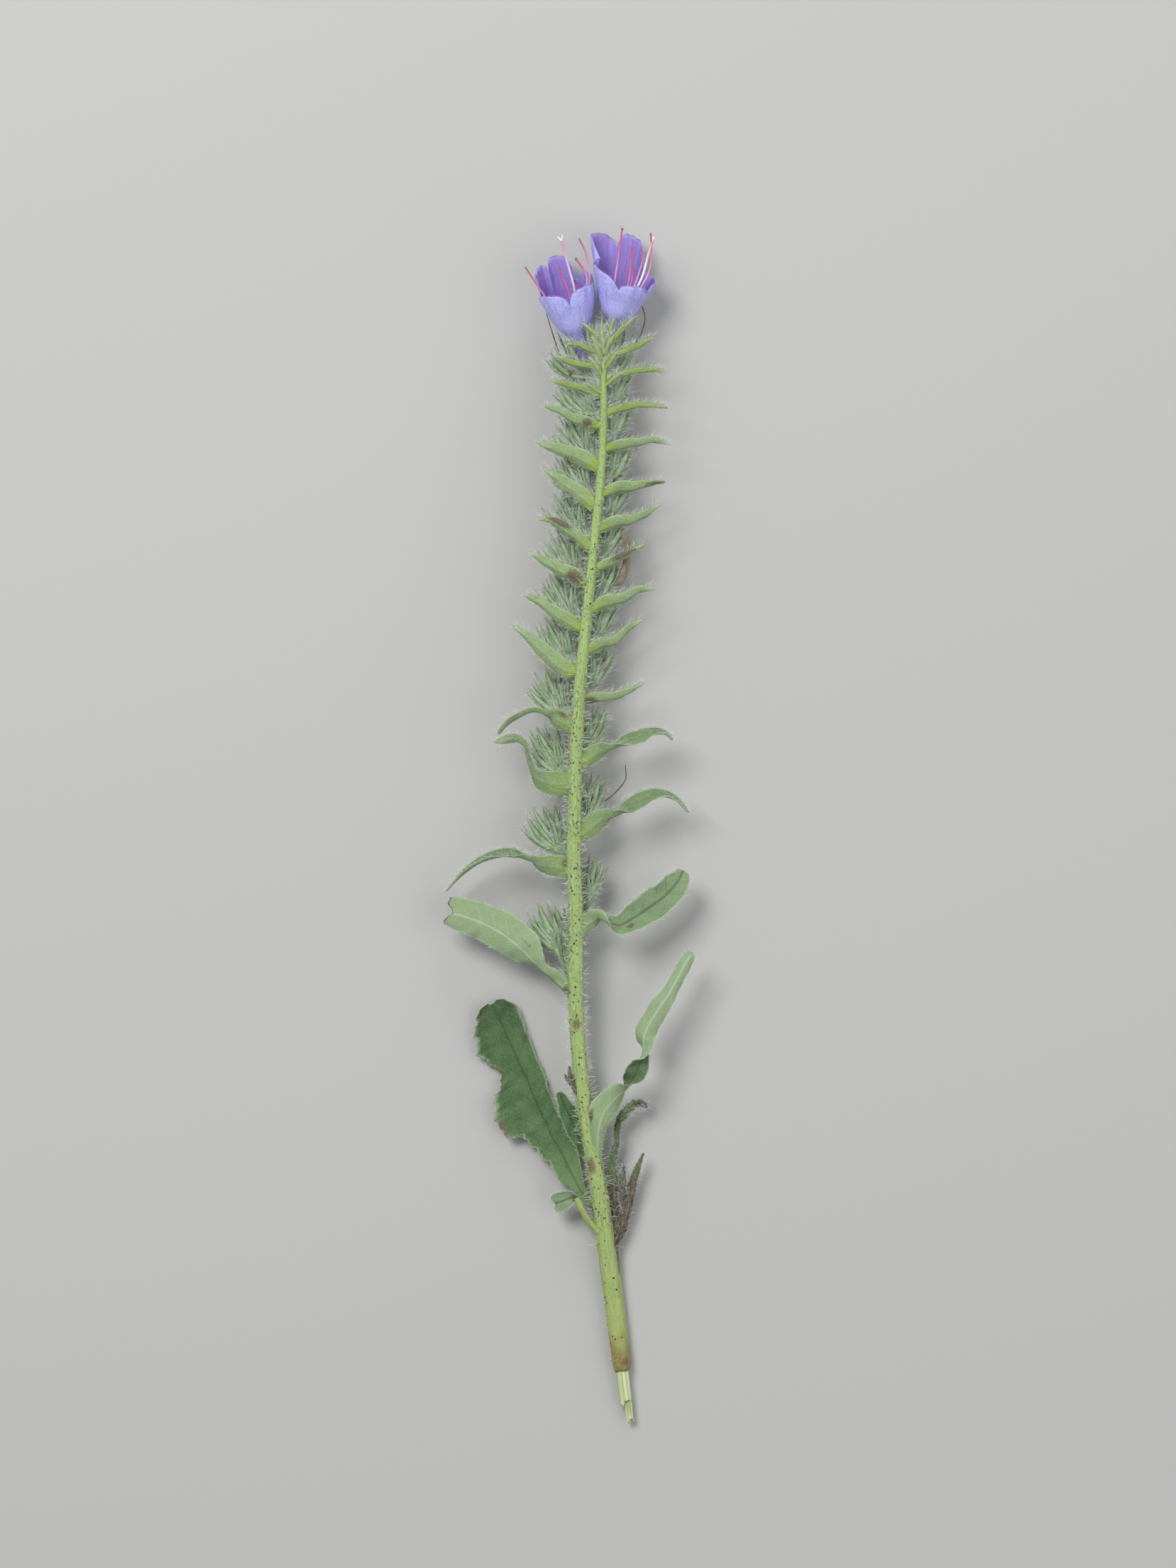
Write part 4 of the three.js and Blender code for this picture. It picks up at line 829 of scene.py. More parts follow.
def make_finishes():
    for name, colours in GREENS.items():
        green_finish(name, *colours)
    bark_finish()
    petal_finish()

    f = Finish("pale_wood")
    fibre = f.noise(f.stretch(f.mark("measure"), 0.07, 0.9), 1.2, 3.0, 0.5)
    colour = f.lay("a3b173", "d8dfb0", fibre, 0.35, 0.6)
    f.feed(colour, f.smooth(fibre, 0.3, 0.7, 0.7, 0.5), fibre, 0.3, 0.0002)

    f = Finish("wart_brown", Roughness=0.5)
    f.feed(f.mix(f.split(f.mark("hair"))[1], "33190f", "5b2f22"))

    for key, (low, high) in HAIR_COLOURS.items():
        f = Finish(f"{key}_white", Roughness=0.35)
        height, own, _ = f.split(f.mark("hair"))
        f.feed(f.mix(own * 0.3, f.lay(low, high, height, 0.0, 0.4), low))

    for key, (roughness, *stops) in THREAD_COLOURS.items():
        f = Finish(key, Roughness=roughness, Subsurface_Weight=0.12, Subsurface_Scale=0.0004)
        f.feed(f.ramp(f.split(f.mark("place"))[0], *stops))

    f = Finish("anther_grey", Roughness=0.7)
    grain = f.noise(f.node("ShaderNodeTexCoord", out="Object"), 9000.0)
    f.feed(f.lay("545b4c", "9c9c84", grain, 0.35, 0.65))

    for key, low, high in (("withered", "3d3529", "867a62"), ("dead_petal", "766c56", "a3987e")):
        f = Finish(f"{key}_brown")
        green = f.split(f.mark("place"))[1]
        streak = f.noise(f.stretch(f.mark("measure"), 0.45, 2.4), 1.5, 4.0, 0.65)
        colour = f.lay(low, high, streak, 0.32, 0.68)
        colour = f.lay(colour, "64794b", green + 0.6 * (streak - 0.5), 0.35, 0.85)
        f.feed(colour, f.smooth(streak, 0.3, 0.7, 0.9, 0.7), streak, 0.8, 0.0003)

    Finish("pale_floor", Roughness=0.85, Base_Color=tint("bbbab6"))


# Blades

# Where the brown stains are: at, side, how long, how wide, how strong.
STAINS = {
    "bract_left_4": [(0.62, 0.55, 0.26, 0.55, 1.1)],
    "bract_left_5": [(0.2, 0.0, 0.16, 0.9, 1.15)],
    "bract_right_4": [(0.6, -0.5, 0.3, 0.6, 1.1)],
    "bract_right_2": [(0.85, 0.0, 0.25, 0.9, 0.85)],
    "bract_right_7": [(0.1, 0.2, 0.14, 0.9, 1.2)],
    "bract_left_1": [(0.22, 0.2, 0.14, 0.7, 0.9)],
    "bract_left_8": [(0.15, 0.6, 0.07, 0.35, 1.0)],
    "bract_left_10": [(0.05, 0.45, 0.045, 0.5, 1.0)],
    "leaf_right": [(0.5, -0.4, 0.03, 0.25, 0.9)],
    "leaf_lower_left": [
        (0.66, 0.97, 0.12, 0.1, 0.9), (0.42, 0.95, 0.06, 0.12, 0.8), (0.93, 0.8, 0.05, 0.25, 0.6),
    ],
    "leaf_lower_right": [(0.17, -0.8, 0.03, 0.2, 1.0)],
    "leaf_left": [
        (0.04, 0.1, 0.04, 0.6, 0.7), (0.42, 0.35, 0.08, 0.12, 0.55), (1.0, 0.0, 0.012, 2.0, 1.0),
    ],
    "leaf_stub": [(0.1, 0.0, 0.15, 1.0, 0.8)],
}
# How dark a blade's face away from the viewer is, where it isn't fully dark.
DARKER = {"leaf_right": 0.45, "bract_right_8": 0.7, "bract_right_9": 0.7, "leaf_stub": 0.25}
CUT_TIPS = {"leaf_left": 0.018, "leaf_lower_left": 0.005, "leaf_stub": 0.05}

# Each kind of blade: its form; the points round and along it; its finish and slot; the gap, length
# and width of its margins' bristles; and how dense, long and wide its faces' hairs are and how far
# they stand.
KINDS = {
    "bract": (
        {"blunt": 0.05, "curl": 1.0}, (20, 60), "bract_green", "bract",
        (0.15, 1.2, 0.032), (20.0, 0.24, 0.014, 0.8),
    ),
    "low_bract": (
        {"blunt": 0.05, "curl": 1.0}, (20, 90), "lower_bract_green", "bract",
        (0.13, 1.1, 0.03), (20.0, 0.3, 0.014, 0.7),
    ),
    "tip": (
        {"blunt": 0.08, "thick": 0.07, "wave": 0.08, "curl": 0.8}, (16, 44),
        "young_bract_green", "bract", (0.065, 1.3, 0.027), (20.0, 0.3, 0.015, 1.0),
    ),
    "leaf": (
        {"blunt": 0.012, "wave": 0.16, "curl": 1.0, "ragged": 0.05}, (32, 150),
        "leaf_green", "leaf", (0.16, 0.8, 0.026), (12.0, 0.36, 0.012, 0.3),
    ),
    "stub": (
        {"blunt": 0.02, "wave": 0.25, "ragged": 0.1}, (20, 40), "leaf_green", "leaf",
        (0.15, 0.6, 0.028), (14.0, 0.35, 0.02, 0.8),
    ),
}
KINDS["dark_leaf"] = (*KINDS["leaf"][:2], "dark_leaf_green", *KINDS["leaf"][3:])
KINDS["chewed_leaf"] = ({**KINDS["leaf"][0], "ragged": 0.22}, (32, 220), *KINDS["dark_leaf"][2:])
OWN_KINDS = {"leaf_behind": "dark_leaf", "leaf_lower_left": "chewed_leaf", "leaf_stub": "stub"}

BLADE_SEED, RIGHT_SEED, TWISTED_SEED, TIP_SEED, STUB_SEED = 100, 120, 140, 150, 190
MIDRIB, UNDER_RIB, RIB_WIDTH = 0.13, 0.09, 0.2

# Young bracts over the front of the growing tip: y where each starts, and how far its tip is to the
# right and up.
YOUNG_BRACTS = [
    (66.2, -2.4, 1.6), (67.4, 2.3, 1.9), (69.0, -1.7, 2.6), (70.0, 1.8, 2.5), (71.2, -1.2, 2.6),
    (71.8, 0.9, 3.0), (72.6, -0.3, 3.3), (72.9, 1.5, 2.3), (72.9, -1.6, 2.0),
]
YOUNG_SHARES, YOUNG_HALVES, YOUNG_ROLL = (0, 0.35, 0.7, 1), (0.28, 0.43, 0.31, 0.08), 28


class Blade:
    """A leaf or bract along rows of x, y, z, width left, width right, roll."""

    def __init__(self, rows, seed, blunt, thick=0.12, wave=0.1, curl=0.0, ragged=0.0):
        self.rows = np.array(rows, float)
        self.blunt, self.thick, self.wave = blunt, thick, wave
        self.curl, self.ragged = curl, ragged
        self.phases = np.random.default_rng(seed).random(3) * TURN
        self.shares = np.linspace(0, 1, 200)
        steps = np.diff(follow(self.rows[:, :3], self.shares), axis=0)
        self.lengths = np.concatenate([[0], np.cumsum(np.linalg.norm(steps, axis=1))])
        self.length = self.lengths[-1]

    def lay(self, t, s):
        """Centre, along, across and outward at t, the width on the side of s, and its bend."""
        rows = follow(self.rows, t)
        along = unit(follow(self.rows[:, :3], t, slope=True))
        flat = unit(np.cross(along, UP))
        face = unit(np.cross(flat, along))
        turn = np.radians(rows[..., 5])
        end = np.sqrt(np.clip((1 - t) / self.blunt, 0, 1))
        far = self.length * t
        tear = (np.sin(2.1 * far + self.phases[2]) + 0.7 * np.sin(4.7 * far)
                + 0.5 * np.sin(11 * far) * np.sin(1.7 * far))
        width = np.where(s < 0, rows[..., 3], rows[..., 4]) * end + self.ragged * tear * (s > 0)
        bend = 2 * FOLD + self.curl * np.sin(turn) ** 2
        return rows[..., :3], along, swung(flat, face, turn), swung(face, -flat, turn), width, bend

    def point(self, t, s, lift=0.0):
        centre, _, across, outward, width, bend = self.lay(t, s)
        a, b, c = self.phases
        far = self.length * t
        sway = np.sin(far * 1.1 + a) + 0.6 * np.sin(far * 2.3 + b + 2 * s)
        swell = 0.35 * np.sin(far * 1.9 + c + 3 * s)
        rise = lift + self.wave * (np.abs(s) ** 3 * sway + swell)
        radius = (width / bend)[..., None]
        normal = swung(outward, across, bend * s)
        return centre - outward * radius + normal * (radius + rise[..., None])

    def mesh(self, name, around, along, marks, cut):
        """Its skin, with a midrib on both faces. A cut tip is notched and ragged."""
        def place(u, v):
            s, face = -np.cos(TURN * u), np.sin(TURN * u)
            notch = 2.6 * bell(s / 0.36) + 0.3 * np.sin(9 * s) + 0.15 * np.sin(23 * s)
            whole, v = v, v - cut * v**9 * (0.5 + notch)
            out = s * self.lay(v, s)[4]
            rib = np.where(face > 0, MIDRIB, UNDER_RIB) * bell(out / RIB_WIDTH) * (1 - 0.7 * v)
            # The two faces meet at the tip.
            lift = (face * self.thick + rib) * np.sqrt(np.clip((1 - whole) / 0.01, 0, 1))
            far = np.interp(v, self.shares, self.lengths)
            return self.point(v, s, lift), {
                "place": columns(v, s, face),
                "measure": columns(far + 7 * self.phases[0], out, face + 3 * self.phases[1]),
                "marks": marks(whole, s, face),
            }

        return skin(name, around, along, place)

    def margin_hairs(self, down, gap, length, width):
        """Bristles that stand out of the margins, aimed outwards and towards the tip."""
        start = 0.04
        count = int(self.length * (1 - start) / gap)
        for side in (-1.0, 1.0):
            t, s = luck.uniform(start, 1, count), side * luck.uniform(0.85, 1.0, count)
            _, along, across, outward, _, bend = self.lay(t, s)
            aim = swung(across, -outward, bend * s) * side
            aim = aim + along * luck.uniform(0.2, 1.1, (count, 1))
            aim = aim + outward * luck.normal(0, 0.5, (count, 1))
            droop = along * luck.uniform(-0.1, 0.5, (count, 1))
            droop = droop + 0.14 * luck.normal(size=(count, 3))
            down.add(self.point(t, s), aim, length * luck.uniform(0.4, 1.2, count), width, droop)

    def face_hairs(self, down, density, length, width, stand):
        """Hairs that lie along the faces, towards the tip."""
        area = self.length * float(np.mean(self.rows[:, 3] + self.rows[:, 4]))
        count = int(area * density)
        for face in (1, -1):
            t, s = luck.uniform(0.03, 0.985, count), luck.uniform(-0.97, 0.97, count)
            _, along, across, outward, _, bend = self.lay(t, s)
            normal = swung(outward, across, bend * s) * face
            aim = normal * luck.uniform(0.3, 1.0, (count, 1)) * stand + along
            aim = aim + across * luck.normal(0, 0.16, (count, 1))
            root = self.point(t, s, face * self.thick * np.sqrt(1 - s * s))
            down.add(root, aim, length * luck.uniform(0.6, 1.3, count), width, -0.08 * normal)


def bract_rows(side, at, reach, rise, width, roll, lift):
    centre, _ = stem_at(at)
    rows = []
    for i, (height, share) in enumerate(zip((0, *rise), BRACT_TAPER)):
        half, x = share * width / 2, centre[0] + side * (0.5 + reach * i / 4)
        z = centre[2] + 0.1 + lift * i / 4
        rows.append((x, at + height, z, half, half, roll if i else roll / 2))
    return rows


def young_rows(y, right, up):
    centre, radius = stem_at(y)
    x, z = centre[0] + 0.12 * right, centre[2] + radius * 0.6
    rows = []
    for share, half in zip(YOUNG_SHARES, YOUNG_HALVES):
        roll = -YOUNG_ROLL * np.sign(right) if share else 0
        rise = 0.75 * math.sin(1.9 * share)
        rows.append((x + right * share, y + up * share**1.2, z + rise, half, half, roll))
    return rows


def tip_rows(rows):
    roll = TIP_ROLL * np.sign(rows[0][0] - rows[-1][0])
    return [(x, y, z, half * 1.05, half * 1.05, roll if k else 0)
            for k, (x, y, z, half) in enumerate(rows)]


def make_blade(name, rows, seed, kind, downs, node=None):
    """One blade and its hairs. Its marks are its stains, how dark each face is, and whether its
    side veins fade away, as they do on all but the leaves."""
    form, grid, finish, slot, margin, face_hairs = KINDS[kind]
    faded = kind in ("bract", "low_bract", "tip", "stub")

    def marks(t, s, face):
        spots = (strong * bell(np.hypot((t - at) / long, (s - side) / wide))
                 for at, side, long, wide, strong in STAINS.get(name, ()))
        return columns(sum(spots), DARKER.get(name, 1) * np.clip(0.5 - 2 * face, 0, 1), faded)

    blade = Blade(rows, seed, **form)
    mesh = blade.mesh(name, *grid, marks, CUT_TIPS.get(name, 0))
    piece(name if kind == "tip" else f"{name}_blade", mesh, finish, slot, node or name)
    blade.margin_hairs(downs[0], *margin)
    blade.face_hairs(downs[1], *face_hairs)


def make_blades():
    bract_downs, leaf_downs, tip_downs = ((Down(), Down()) for _ in range(3))
    for word, side, seed, specs in (("left", -1, BLADE_SEED, LEFT_BRACTS),
                                    ("right", 1, RIGHT_SEED, RIGHT_BRACTS)):
        for i, spec in enumerate(specs):
            name = f"bract_{word}_{i + 1}"
            make_blade(name, bract_rows(side, *spec), seed + i, "bract", bract_downs)
    for i, (name, rows) in enumerate(TWISTED.items()):
        leaf = name.startswith("leaf")
        kind = OWN_KINDS.get(name, "leaf" if leaf else "low_bract")
        make_blade(name, rows, TWISTED_SEED + i, kind, leaf_downs if leaf else bract_downs)
    tips = [*map(tip_rows, TIP_BRACTS), *(young_rows(*spec) for spec in YOUNG_BRACTS)]
    for i, rows in enumerate(tips):
        make_blade(f"tip_bract_{i + 1}", rows, TIP_SEED + i, "tip", tip_downs, "stem")
    make_blade("leaf_stub", STUB_BLADE, STUB_SEED, "stub", leaf_downs, "stem")
    for (edges, faces), edge, face, finish in (
        (bract_downs, "bract_bristles", "bract_short_hairs", "bristle_white"),
        (leaf_downs, "leaf_margin_hairs", "leaf_lying_hairs", "lying_white"),
        (tip_downs, "tip_bract_bristles", "tip_bract_short_hairs", "bristle_white"),
    ):
        edges.make(edge, "bristle_white")
        faces.make(face, finish, SPECK)


# Stalks

class Stalk:
    """A round stalk along rows of x, y, z, radius."""

    def __init__(self, rows, shape=None):
        self.rows = np.array(rows, float)
        self.shape = shape

    def lay(self, t):
        rows = follow(self.rows, t)
        along = unit(follow(self.rows[:, :3], t, slope=True))
        across = unit(np.cross(along, UP if abs(along[0, 2]) < 0.9 else [1.0, 0, 0]))
        return rows[:, :3], along, across, np.cross(across, along), rows[:, 3]

    def point(self, t, angle):
        centre, along, across, up, radius = self.lay(t)
        outward = swung(across, up, angle)
        size = radius * (self.shape(t, angle) if self.shape else 1)
        return centre + outward * size[:, None], outward, along

    def mesh(self, name, around, along, marks=None, green=NEVER_GREEN):
        """Its skin. A dead stalk is still green from one part of it to the other."""
        start, end = green

        def place(u, v):
            angle = TURN * u
            radius = 1.6 * follow(self.rows, v)[:, 3]
            length = np.linalg.norm(self.rows[-1, :3] - self.rows[0, :3])
            return self.point(v, angle)[0], {
                "place": columns(v, np.clip((v - start) / (end - start), 0, 1), 0),
                "measure": columns(v * length, radius * np.cos(angle), radius * np.sin(angle)),
                **({"marks": marks(v, angle)} if marks else {}),
            }

        return skin(name, around, along, place)


def ribbed(t, angle):
    """The stem's low ribs, which wind a little, and its rounded cut end."""
    ribs = 1 + 0.03 * np.cos(5 * angle + 9 * t) + 0.02 * np.cos(9 * angle - 14 * t + 1)
    return ribs - (0.22 + 0.08 * np.cos(3 * angle)) * np.exp(-t / 0.0022)


def crumpled(t, angle):
    folds = 0.16 * np.cos(3 * angle + 7 * t) + 0.09 * np.cos(5 * angle - 16 * t)
    return 1 + folds + 0.05 * np.sin(31 * t)


def split_wood(t, angle):
    return 1 + 0.05 * np.cos(3 * angle + 0.6) + 0.03 * np.cos(7 * angle)


def stem_marks(t, angle):
    """Where the stem is brown and where purple."""
    y = follow(STEM, t)[:, 1]
    purple = sum(strong * bell((y - at) / long) * np.clip(np.sin(angle + turn), 0, 1) ** sharp
                 for at, long, strong, turn, sharp in PURPLE)
    return columns(np.clip((BROWN_BELOW - y) / BROWN_FADE, 0, 1) ** 0.8, purple, 0)


def stub_marks(t, angle):
    return columns(0.5 * np.sin(math.pi * t), 0, 0)


def pick_stem(bands):
    """Random spots on the stem in bands, each from, to and how many to the millimetre."""
    heights = [luck.uniform(low, high, int((high - low) * dense)) for low, high, dense in bands]
    t = stem_share(np.concatenate(heights))
    return t, luck.uniform(0, TURN, len(t))


def make_stem():
    stem = Stalk(STEM, ribbed)
    bark = stem.mesh("stem_bark", *STEM_GRID, stem_marks)
    piece("stem_bark", bark, "stem_bark", "stem_green", "stem")
    stub = Stalk(STUB, crumpled).mesh("leaf_stub_stalk", *STUB_GRID, stub_marks)
    piece("leaf_stub_stalk", stub, "stem_bark", "stem_green", "stem")

    # Dark warts, most with a bristle.
    t, angle = pick_stem(WART_BANDS)
    root, outward, along = stem.point(t, angle)
    bm = bmesh.new()
    bmesh.ops.create_cone(bm, cap_ends=True, segments=7, radius1=1, radius2=0.45, depth=0.5)
    wart = Pattern(bm)
    size = luck.uniform(*WART_RADIUS, len(t))[:, None]
    across = unit(np.cross(outward, along))
    points = root[:, None] + wart.laid(across * size, along * size * 1.3, outward * size * 0.6)
    own = np.broadcast_to(luck.random((len(t), 1)), points.shape[:2])
    mesh = wart.copies("stem_warts", points, {"hair": columns(0, own, 0)})
    piece("stem_warts", mesh, "wart_brown")

    down = Down()
    haired = (follow(STEM, t)[:, 1] > BARE_BELOW) | (luck.random(len(t)) < BARE_SHARE)
    more_t, more_angle = pick_stem(BRISTLE_BANDS)
    t, angle = np.concatenate([t[haired], more_t]), np.concatenate([angle[haired], more_angle])
    root, outward, along = stem.point(t, angle)
    count = len(t)
    aim = outward + along * luck.normal(0.15, 0.35, (count, 1))
    aim = aim + 0.15 * luck.normal(size=(count, 3))
    bend = along * luck.normal(0, 0.22, (count, 1)) + 0.1 * luck.normal(size=(count, 3))
    shorter = np.interp(follow(STEM, t)[:, 1], [20, 60], [1, 0.7])
    length = luck.uniform(*STEM_BRISTLES, count) * shorter
    down.add(root, aim, length, np.interp(length, *BRISTLE_WIDTHS), bend)
    down.make("stem_bristles", "bristle_white")

    fuzz = Down()
    t, angle = pick_stem(FUZZ_BANDS)
    root, outward, along = stem.point(t, angle)
    count = len(t)
    aim = outward * 0.8 + along * luck.uniform(0.0, 1.1, (count, 1))
    aim = aim + 0.3 * luck.normal(size=(count, 3))
    fuzz.add(root, aim, luck.uniform(0.25, 0.65, count), 0.02, along * 0.25)
    fuzz.make("stem_fuzz", "bristle_white", SPECK)


def broken(stalk, steps):
    """A broken length of wood: its sides, its ragged rim and the rough face inside the rim."""
    def place(u, v):
        angle = TURN * u
        row = np.rint(v * steps)
        v = np.minimum(row / (steps - 2), 1)
        inset = np.interp(row, [steps - 2, steps - 1, steps], [1, 0.86, 0])
        notch = 0.075 * np.tanh(4 * np.sin(2 * angle + 0.8)) + 0.03 * np.sin(9 * angle)
        t = np.where(row == steps, 0.97, np.clip(v * (1 + notch * v**6), 0, 1.1))
        centre, along, across, up, radius = stalk.lay(np.minimum(t, 1))
        beyond = (t - np.minimum(t, 1)) * WOOD_LENGTH
        size = radius * stalk.shape(t, angle) * inset
        points = centre + along * beyond[:, None] + swung(across, up, angle) * size[:, None]
        x, y = 2 * radius * np.cos(angle), 2 * radius * np.sin(angle)
        return points, {"measure": columns(t * WOOD_LENGTH, x, y)}

    return skin("core", 32, steps, place)


def make_core():
    for name, rows, steps in zip(("wood", "sliver"), (CORE, SLIVER), WOOD_ROWS):
        mesh = broken(Stalk(rows, split_wood), steps)
        piece(f"stem_core_{name}", mesh, "pale_wood", "stem_core", "stem_core")


# Calyces

def round_stalk(start, end, radius, growth=0.0):
    """Points of a short round stalk that may widen."""
    z = NECK.points[:, 2]
    along = unit(end - start)
    across = unit(np.cross(along, UP))
    ring = NECK.laid(across[None], np.cross(across, along)[None])[0]
    return start + z[:, None] * (end - start) + (radius + growth * z)[:, None] * ring


class Calyx:
    """Five narrow lobes on a short stalk, in the place of one calyx of the solids."""

    def __init__(self, fork, foot, tip, form, draw):
        self.fork, self.foot, self.tip = (np.array(point, float) for point in (fork, foot, tip))
        axis = self.tip - self.foot
        self.length = float(np.linalg.norm(axis))
        self.matrix = spun(draw.next() * math.pi) @ aimed(axis / self.length).T
        self.form = form
        # The lobes curve up beside the stem, except round an open flower.
        self.lean = np.array([-0.16 * axis[0], 0.3 * abs(axis[0]), 0]) * (form["cup"] < 1)
        self.own = np.random.default_rng(int(draw.state % 99991))
        self.curl = self.own.normal(0, 0.16, 5)
        self.sway = self.own.normal(0, 0.22, 5)

    def axes(self, i):
        """The directions outwards, sideways and up at lobe i."""
        return spun(TURN * i / 5) @ self.matrix

    def lobe(self, i, s, through, h):
        """Points of lobe i: across, through and along it."""
        cup, spread, waist = (self.form[key] for key in ("cup", "spread", "waist"))
        radius = np.interp(h, [0, waist, 1], [0.3, cup * 0.86, spread])
        radius = radius + self.curl[i] * h * h + 0.15 * np.sin(math.pi * h) * spread
        half = np.interp(h, *LOBE_OUTLINE) * (cup / LOBES["cup"]) ** 0.35
        keel = 0.35 * np.abs(s) * half
        wall = through * 0.1 * np.sqrt(np.clip(1 - h, 0.05, 1))
        reach = self.length * (1 if i % 2 else 0.93)
        local = columns(radius - keel + wall, s * half + self.sway[i] * h * h, h * reach)
        return self.foot + local @ self.axes(i) + (h * h)[:, None] * self.lean

    def hairs(self, down, silk, edge, keel):
        """Bristles on the lobes' edges and keels, and silk about the foot."""
        own, count = self.own, edge + keel
        for i in range(5):
            radial, sideways, up = self.axes(i)
            h = own.uniform(0.04, 1.0, count) ** 0.9
            s = np.where(np.arange(count) < edge, own.choice([-0.95, 0.95], count),
                         own.uniform(-0.5, 0.5, count))
            noise = own.normal(size=(count, 3))
            aim = (sideways * s[:, None] + radial * own.uniform(0.2, 1.0, (count, 1))
                   + up * own.uniform(0.2, 0.9, (count, 1)) + 0.2 * noise)
            bend = up * own.uniform(0.0, 0.45, (count, 1)) + 0.12 * noise
            down.add(self.lobe(i, s, 0.6, h), aim, own.uniform(0.6, 1.6, count), HAIR_WIDTH, bend)
        count = FOOT_SILK
        first, second, up = self.matrix
        h, angle = own.uniform(0, 0.45, count), own.uniform(0, TURN, count)
        radial = swung(first, second, angle)
        root = self.foot + up * (h * self.length)[:, None] + radial * 0.5
        noise = own.normal(size=(count, 3))
        aim = radial + up * own.uniform(-0.2, 0.8, (count, 1)) + 0.3 * noise
        silk.add(root, aim, own.uniform(1.0, 2.3, count), HAIR_WIDTH, up * 0.6 + 0.35 * noise)


def rachis(at, side):
    """The start and end of a cyme's stalk, and where its calyces fork from it."""
    _, radius = stem_at(at)
    root = beside(at + RACHIS["from"], radius - RACHIS["sunk"], RACHIS["turn"], side)
    end = beside(at + RACHIS["to"], radius + RACHIS["out"], RACHIS["turn"], side)
    return root, end, root + (end - root) * RACHIS["fork"]


def cyme_calyxes(name, at, side, size, fork, draw):
    centre, _ = stem_at(at)
    from_y = at + LONGER_STALKS.get(name, 0)
    made = []
    for i, (turn, out, up, tip_out, tip_up) in enumerate(CALYXES["left" if side < 0 else "right"]):
        turn = turn + draw.spread(WANDER["turn"])
        rests = name in SUPPORTS and i == 0
        room = centre[2] - CLEAR_OF_GROUND - (0 if rests else LOBES["spread"])
        furthest = room / math.cos(math.radians(turn))
        reach = furthest if rests else min(tip_out * size, furthest)
        out = min(out * size, reach - SHORTEST_CALYX)
        foot = beside(from_y + up * size + draw.spread(WANDER["foot"]), out, turn, side)
        tip = beside(from_y + tip_up * size + draw.spread(WANDER["tip"]), reach, turn, side)
        made.append(Calyx(fork, foot, tip, LOBES, draw))
    return made


def calyx_piece(name, calyxes, trunk=None, node=None, flush=0.0):
    """Lobes, necks and the stalk that they fork from, as one piece. A flush browns the lobes."""
    lobes = [calyx.lobe(i, *LOBE.points.T) for calyx in calyxes for i in range(5)]
    necks = []
    for calyx in calyxes:
        end = calyx.fork + 1.06 * (calyx.foot - calyx.fork)
        necks.append(round_stalk(calyx.fork, end, NECK_RADIUS, NECK_GROWTH))
    if trunk:
        necks.append(round_stalk(*trunk, TRUNK_RADIUS))
    meshes = []
    for pattern, placed in ((LOBE, lobes), (NECK, necks)):
        x, y, z = pattern.points.T
        own = np.random.default_rng(len(placed)).random((len(placed), 1))
        stain = flush * 1.6 * own * bell((z - 0.45) / 0.28) * (1 - np.abs(x))
        meshes.append(pattern.copies(name, np.array(placed), {
            "place": [columns(z, x, y)] * len(placed),
            "measure": columns(z * 6 + 50 * own, x * 0.5, y),
            "marks": columns(stain, np.clip(own + 0.3 * z, 0, 1), 1),
        }))
    piece(name, as_mesh(name, gathered(meshes)), "calyx_green", "calyx", *([node] if node else []))


def loose_silk(silk, root, end, calyxes, side, own, count):
    """Long soft hairs on the stalk that calyces fork from and on their own stalks."""
    share = own.random((count, 1))
    noise = own.normal(size=(count, 3))
    feet = np.array([calyx.foot for calyx in calyxes])[own.integers(len(calyxes), size=count)]
    on_stalk = own.random((count, 1)) < 0.5
    spots = np.where(on_stalk, root + (end - root) * share, end + (feet - end) * share)
    aim = (end - root) * 0.5 + np.array([side * 0.5, 1.0, 0.3]) * 0.8 + 0.8 * noise
    silk.add(spots, aim, own.uniform(1.2, 2.6, count), 0.026, 0.35 * noise + [0, 0.3, 0.2])


def young_calyxes(calyxes, end, fork, side, own, draw):
    """Smaller calyces between a cyme's own, and two beside the end of its stalk."""
    young = []
    for one, two in zip(calyxes, calyxes[1:]):
        foot, tip = (one.foot + two.foot) / 2, (one.tip + two.tip) / 2
        tip = foot + (tip - foot) * own.uniform(0.6, 0.85) + own.normal(0, 0.25, 3)
        young.append(Calyx(fork, foot, tip, SMALL_LOBES, draw))
    for lean in (0.25, 0.6):
        foot = end + (calyxes[-1].foot - end) * lean + [0, 1.0, -0.3]
        tip = foot + [side * own.uniform(0.2, 1.2), 3.4, own.uniform(-0.6, 0.8)]
        young.append(Calyx(end, foot, tip, SMALL_LOBES, draw))
    return young


def make_cymes(draw):
    for word, side in (("left", -1), ("right", 1)):
        down, silk, later, buds = Down(), Down(), Draw(), []
        for i, at in enumerate(CYMES[word]):
            name = f"cyme_{word}_{i + 1}"
            root, end, fork = rachis(at, side)
            calyxes = cyme_calyxes(name, at, side, 1 if i else TOP_CYME, fork, draw)
            flush = LOW_FLUSH if at < LOW_CYMES else HIGH_FLUSH
            calyx_piece(f"{name}_calyxes", calyxes, (root, end), name, flush)
            own = np.random.default_rng(CYME_SEEDS[word] + i)
            young = young_calyxes(calyxes, end, fork, side, own, later)
            buds += young
            for calyx in calyxes:
                calyx.hairs(down, silk, *BRISTLES)
            for calyx in young:
                calyx.hairs(down, silk, *YOUNG_BRISTLES)
            loose_silk(silk, root, end, calyxes, side, own, CYME_SILK)
        calyx_piece(f"young_calyxes_{word}", buds)
        down.make(f"calyx_bristles_{word}", "bristle_white")
        silk.make(f"calyx_silk_{word}", "silk_white", SILK)


# Open flowers

